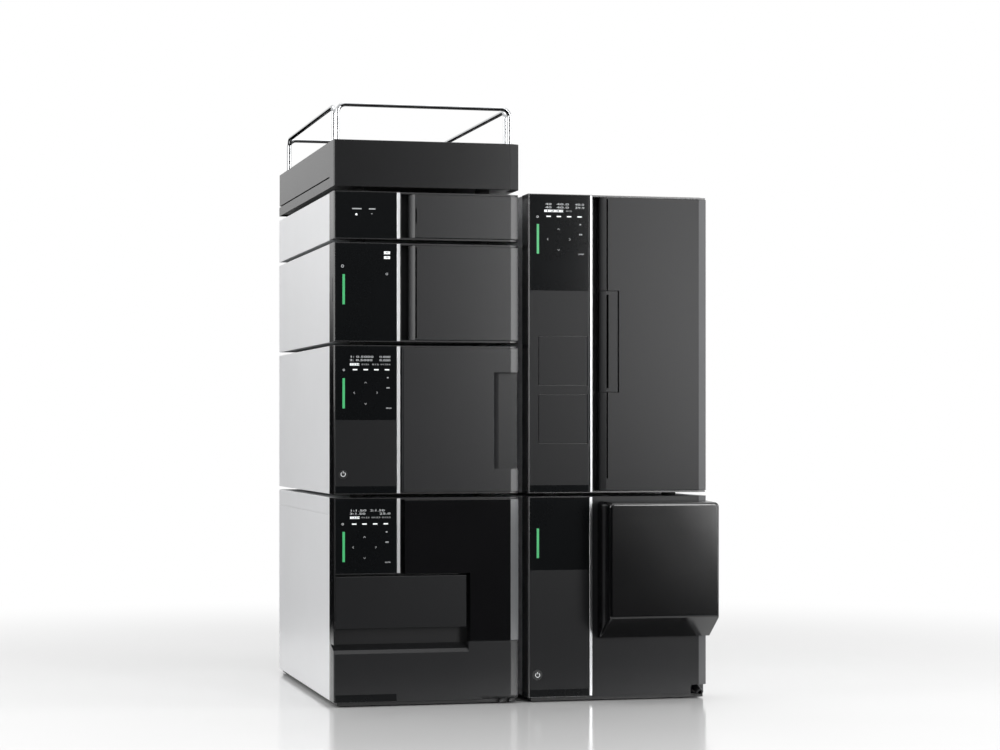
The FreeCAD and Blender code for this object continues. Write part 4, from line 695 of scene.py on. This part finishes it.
def printed_ring(unit, x, z, radius, line, gap=0.0):
    """Ring of a mark, with a gap at its top if it has one."""
    fresh()
    centre = at(unit, x, -MARK_T, z)
    bpy.ops.mesh.primitive_circle_add(vertices=28, radius=radius * MM, fill_type="NGON",
                                      rotation=(math.pi / 2, 0.0, 0.0), location=centre)
    bpy.ops.object.transform_apply(location=True, rotation=True)
    shape("FACE")
    bpy.ops.mesh.select_all(action="SELECT")
    bpy.ops.mesh.inset(thickness=line * MM)
    bpy.ops.mesh.delete(type="FACE")
    if gap:
        pick("faces", lambda p: p.z > centre.z and abs(p.x - centre.x) < gap / 2 * MM)
        bpy.ops.mesh.delete(type="FACE")
    bpy.ops.mesh.select_all(action="SELECT")
    pull(y=MARK_T + MARK_SUNK)
    return done()


def printed_arrow(unit, x, z, turn):
    """Open arrow head that points up, turned by that many degrees."""
    fresh()
    bpy.ops.mesh.primitive_plane_add(size=MM, rotation=(math.pi / 2, 0.0, 0.0))
    arrow = bpy.context.active_object
    arrow.scale = (ARROW_W, ARROW_LINE, 1.0)
    bpy.ops.object.transform_apply(location=False, rotation=True, scale=True)
    shape("EDGE")
    bpy.ops.mesh.select_all(action="SELECT")
    bpy.ops.mesh.subdivide(number_cuts=1)
    bpy.ops.mesh.select_all(action="DESELECT")
    bpy.ops.mesh.select_mode(type="VERT")
    pick("verts", lambda p: abs(p.x) < 0.1 * MM)
    bpy.ops.transform.translate(value=(0.0, 0.0, ARROW_RISE * MM))
    bpy.ops.mesh.select_all(action="SELECT")
    pull(y=MARK_T + MARK_SUNK)
    done()
    arrow.rotation_euler = (0.0, math.radians(turn), 0.0)
    arrow.location = at(unit, x, -MARK_T, z)
    bpy.ops.object.transform_apply(location=True, rotation=True)
    return arrow


def printed_digits(unit, x, z, wide, digits, size=DIGIT_SIZE, out=0.0):
    """Row of digits that starts at x and is that wide, its middle at z."""
    fresh()
    bpy.ops.object.text_add(rotation=(math.pi / 2, 0.0, 0.0))
    row = bpy.context.active_object
    row.data.body = digits
    row.data.size = size * MM
    row.data.align_y = "CENTER"
    row.data.extrude = MARK_T / 2 * MM
    row.data.resolution_u = 2
    row.location = at(unit, x, -MARK_T / 2 - out, z)
    bpy.context.view_layer.update()
    row.scale.x = wide * MM / row.dimensions.x
    bpy.ops.object.convert(target="MESH")
    row = bpy.context.active_object
    bpy.ops.object.transform_apply(location=True, rotation=True, scale=True)
    return row


# What each display shows, in the module's millimetres. Rows: start, height, width and digits.
# Tabs and dashes: height, then their places. Arrows: x, z and turn. Keys: home, menu, enter.
DISPLAYS = {
    "sampler": {
        "rows": [(21.7, 261.3, 21.3, "1:1.50"), (50.0, 261.3, 20.0, "2:1.50"),
                 (21.7, 256.9, 21.3, "3:1.50"), (63.0, 256.9, 15.0, "25.0")],
        "tabs": (251.7, [(21.7, 14.8), (38.2, 10.6), (52.0, 12.0), (66.6, 11.6)]),
        "dashes": (243.0, [28.2, 42.4, 57.2, 71.9]),
        "touch": (12.3, 243.0),
        "arrows": [(42.4, 224.4, 0), (57.2, 211.2, 90),
                   (42.4, 197.4, 180), (27.6, 211.2, 270)],
        "keys": [(73.0, 231.9), (73.6, 218.0), (73.6, 190.4)],
    },
    "pump": {
        "rows": [(21.8, 187.2, 31.2, "1: 0.5000"), (63.0, 187.2, 15.0, "0.000"),
                 (21.8, 182.6, 31.2, "2: 0.5000"), (63.0, 182.6, 15.0, "0.000")],
        "tabs": (176.9, [(21.6, 14.3), (38.1, 10.1), (52.8, 8.9), (64.6, 13.4)]),
        "dashes": (169.8, [29.4, 44.2, 58.8, 73.6]),
        "touch": (13.8, 169.2),
        "arrows": [(43.9, 151.4, 0), (58.9, 138.3, 90),
                   (43.9, 124.1, 180), (29.1, 138.3, 270)],
        "keys": [(74.6, 159.0), (75.0, 145.1), (75.0, 117.3)],
    },
    "oven": {
        "rows": [(24.0, 400.9, 9.0, "40"), (40.0, 400.9, 18.0, "40.0"),
                 (67.0, 400.9, 13.0, "40.0"), (24.0, 396.4, 9.0, "40"),
                 (40.0, 396.4, 18.0, "40.0"), (67.0, 396.4, 13.0, "39.9")],
        "tabs": (391.6, [(22.1, 28.7), (53.9, 8.3)]),
        "dashes": (384.0, [29.0, 43.8, 58.5, 73.5]),
        "touch": (13.1, 383.2),
        "arrows": [(43.4, 365.5, 0), (58.5, 352.3, 90),
                   (43.4, 338.3, 180), (28.6, 352.3, 270)],
        "keys": [(74.6, 373.2), (75.1, 359.3), (74.9, 331.9)],
    },
}


def display_marks(unit, places):
    grey = [printed_digits(unit, *row) for row in places["rows"]]
    z, tabs = places["tabs"]
    x, wide = tabs[0]
    bright = [printed_plate(unit, x + wide / 2, z, wide - 2 * TAB_EDGE, TAB_H)]
    dark = printed_digits(unit, x + TAB_DIGITS_IN, z - TAB_DIGITS_DOWN, wide - 2 * TAB_DIGITS_IN,
                          "1234", TAB_DIGIT_SIZE, MARK_T)
    keep(dark, unit + "_tab_digits", DISPLAY_BLACK, "stacks", "display_black")
    dim = [printed_digits(unit, x, z, wide, "0123456"[:round(wide / DIGIT_PITCH)], TAB_NAME_SIZE)
           for x, wide in tabs[1:]]
    z, dashes = places["dashes"]
    dash = printed_plate(unit, dashes[0], z, *DASH)
    bright += [dash] + [copied(dash, x=x - dashes[0]) for x in dashes[1:]]
    grey += [printed_arrow(unit, x, z, turn) for x, z, turn in places["arrows"]]
    (home_x, home_z), (menu_x, menu_z), (enter_x, enter_z) = places["keys"]
    menu = printed_plate(unit, menu_x - MENU_KEY_OFF, menu_z, *MENU_KEY)
    dim += [printed_plate(unit, home_x, home_z, *HOME_KEY), menu, copied(menu, x=2 * MENU_KEY_OFF)]
    grey.append(printed_digits(unit, enter_x - ENTER_IN, enter_z, ENTER_W, "0000", KEY_NAME_SIZE))
    grey.append(printed_ring(unit, *places["touch"], *TOUCH_RING))
    keep(joined(bright), unit + "_display_marks", WHITE_MARK, "stacks", "display_black")
    keep(joined(grey), unit + "_digits", GREY_MARK, "stacks", "display_black")
    keep(joined(dim), unit + "_key_marks", DIM_MARK, "stacks", "display_black")


for unit, places in DISPLAYS.items():
    display_marks(unit, places)


# Marks of the two modules without a display: plates with their width, height and corner
CONTROLLER_BARS = [(31.8, 41.0, 12.9, 1.5), (53.0, 41.0, 9.1, 1.5), (52.5, 34.5, 1.6, 1.0, 0.3)]
CONTROLLER_LAMP = (31.2, 33.2, 3.0, 3.0, 1.4)
FIELD = (73.6, 121.5, 8.4, 3.8)
FIELD_DIGITS = (71.6, 121.5, 4.0, "00")
FIELD_DOWN = 6.5
DETECTOR_RINGS = [(73.2, 92.6, 1.6, 0.6), (12.0, 102.5, 2.0, 0.8)]


def lamp_marks():
    """Lamp dots of the controller and the lit fields of the detector."""
    bars = [printed_plate("controller", *bar) for bar in CONTROLLER_BARS]
    keep(joined(bars), "controller_lamp_bars", DIM_MARK, "stacks", "display_black")
    lamp = printed_plate("controller", *CONTROLLER_LAMP)
    keep(lamp, "controller_lamp", WHITE_MARK, "stacks", "display_black")
    field = printed_plate("detector", *FIELD)
    fields = joined([field, copied(field, z=-FIELD_DOWN)])
    keep(fields, "detector_lamp_fields", WHITE_MARK, "stacks", "display_black")
    figure = printed_digits("detector", *FIELD_DIGITS, FIELD_DIGIT_SIZE, MARK_T)
    figures = joined([figure, copied(figure, z=-FIELD_DOWN)])
    keep(figures, "detector_field_digits", DISPLAY_BLACK, "stacks", "display_black")
    rings = [printed_ring("detector", *ring) for ring in DETECTOR_RINGS]
    keep(joined(rings), "detector_key_marks", DIM_MARK, "stacks", "display_black")


def power_mark(unit, x, z, body, slot):
    """Ring open at its top with a short bar in the gap."""
    ring = printed_ring(unit, x, z, POWER_R, POWER_LINE, gap=POWER_GAP)
    bar = printed_plate(unit, x, z + POWER_BAR_UP, POWER_LINE, POWER_BAR_H)
    keep(joined([ring, bar]), unit + "_power_mark", WHITE_MARK, body, slot)


lamp_marks()
power_mark("pump", 13.0, 27.4, "pump_power_button", "black_plastic")
power_mark("spectrometer", 13.3, 31.3, "spectrometer_power_button", "black_plastic")


# Camera, stage and light

camera = bpy.data.objects.new("camera", bpy.data.cameras.new("camera"))
bpy.context.collection.objects.link(camera)
camera.location = (-0.829697, -3.516756, 0.380554)
camera.rotation_euler = Euler((math.radians(90.0), 0.0, math.radians(-13.56988)))
camera.data.sensor_width = 36.0
camera.data.lens = 88.198
camera.data.shift_x = 0.001544
camera.data.shift_y = 0.052816
camera.data.clip_end = 60.0
bpy.context.scene.camera = camera
bpy.context.scene.view_settings.view_transform = "Standard"


def softbox(name, place, target, wide, tall, watts):
    lamp = bpy.data.lights.new(name, "AREA")
    lamp.shape = "RECTANGLE"
    lamp.size, lamp.size_y = wide, tall
    lamp.energy = watts
    lamp_object = bpy.data.objects.new(name, lamp)
    bpy.context.collection.objects.link(lamp_object)
    lamp_object.location = place
    lamp_object.visible_camera = False
    facing = Vector(target) - Vector(place)
    lamp_object.rotation_euler = facing.to_track_quat("-Z", "Y").to_euler()


softbox("right_softbox", (2.3, -0.95, 0.75), (0.2, 0.0, 0.45), 0.9, 1.9, 31.0)
softbox("tall_strip_light", (1.3, -3.4, 1.35), (1.3, 0.0, 1.35), 0.4, 1.8, 32.0)
softbox("low_strip_light", (1.75, -3.4, 0.45), (1.75, 0.0, 0.45), 0.7, 0.7, 26.0)
softbox("left_softbox", (-2.6, -0.6, 1.2), (0.0, 0.0, 0.4), 1.6, 1.6, 34.0)
softbox("top_softbox", (0.2, 0.1, 3.0), (0.0, 0.0, 0.4), 2.4, 2.4, 36.0)


SHED_LIGHT = 0.45
WHITE = (1.0, 1.0, 1.0, 1.0)
BLACK = (0.0, 0.0, 0.0, 1.0)


def white_surroundings():
    """White where a ray sees it directly, plain grey for the light it sheds, and darker low in
    front, where the fronts mirror it."""
    world = bpy.data.worlds.new("surroundings")
    world.use_nodes = True
    nodes = Nodes(world.node_tree, "Generated")
    y, z = nodes.axes()[1:]
    direct, through, glossy = nodes.rays()
    open_side = nodes.math("MAXIMUM", nodes.slope(y, -0.75, -0.1, 0.16),
                           nodes.slope(z, 0.2, 0.45))
    mirrored = nodes.slope(z, 0.02, 0.1, 0.0, 0.9) * open_side
    seen = nodes.math("MINIMUM", direct + through, 1.0)
    strength = seen * (1.0 - SHED_LIGHT) + SHED_LIGHT + glossy * (mirrored - SHED_LIGHT)
    shade = nodes.node("ShaderNodeBackground", None, {"Color": WHITE, "Strength": strength})
    nodes.node("ShaderNodeOutputWorld", None, {"Surface": shade.outputs[0]})
    bpy.context.scene.world = world


white_surroundings()


def lay_floor():
    """Pale floor that keeps the shadow and turns to white paper further out. Glossy surfaces
    mirror only the part near the object."""
    bpy.ops.mesh.primitive_plane_add(size=30.0, location=(0.0, 0.0, -0.0002))
    floor = bpy.context.active_object
    floor.name = "studio_floor"
    f = Finish("studio_floor")
    x, y = f.axes()[:2]
    reach = f.math("SQRT", x * x + y * y)
    near = f.node("ShaderNodeBsdfPrincipled", None, {
        "Base Color": f.ramp(f.noise(3.0), [(0.2, (0.90, 0.90, 0.90)), (0.8, (0.93, 0.93, 0.93))]),
        "Roughness": 0.12})
    white = f.node("ShaderNodeEmission", None, {"Color": WHITE, "Strength": 1.0})
    black = f.node("ShaderNodeEmission", None, {"Color": BLACK, "Strength": 0.0})
    direct, through, glossy = f.rays()
    unlit = f.math("MAXIMUM", f.slope(reach, 0.7, 1.3), f.slope(0.0 - y, 0.3, 0.6))
    paper = f.node("ShaderNodeMixShader", None,
                   {0: f.slope(reach, 0.55, 1.9) * (direct + through), 1: near.outputs[0],
                    2: white.outputs[0]})
    mix = f.node("ShaderNodeMixShader", None,
                 {0: unlit * glossy, 1: paper.outputs[0], 2: black.outputs[0]})
    f.node("ShaderNodeOutputMaterial", None, {"Surface": mix.outputs[0]})
    floor.data.materials.append(f.material)


bpy.ops.object.select_all(action="DESELECT")
lay_floor()
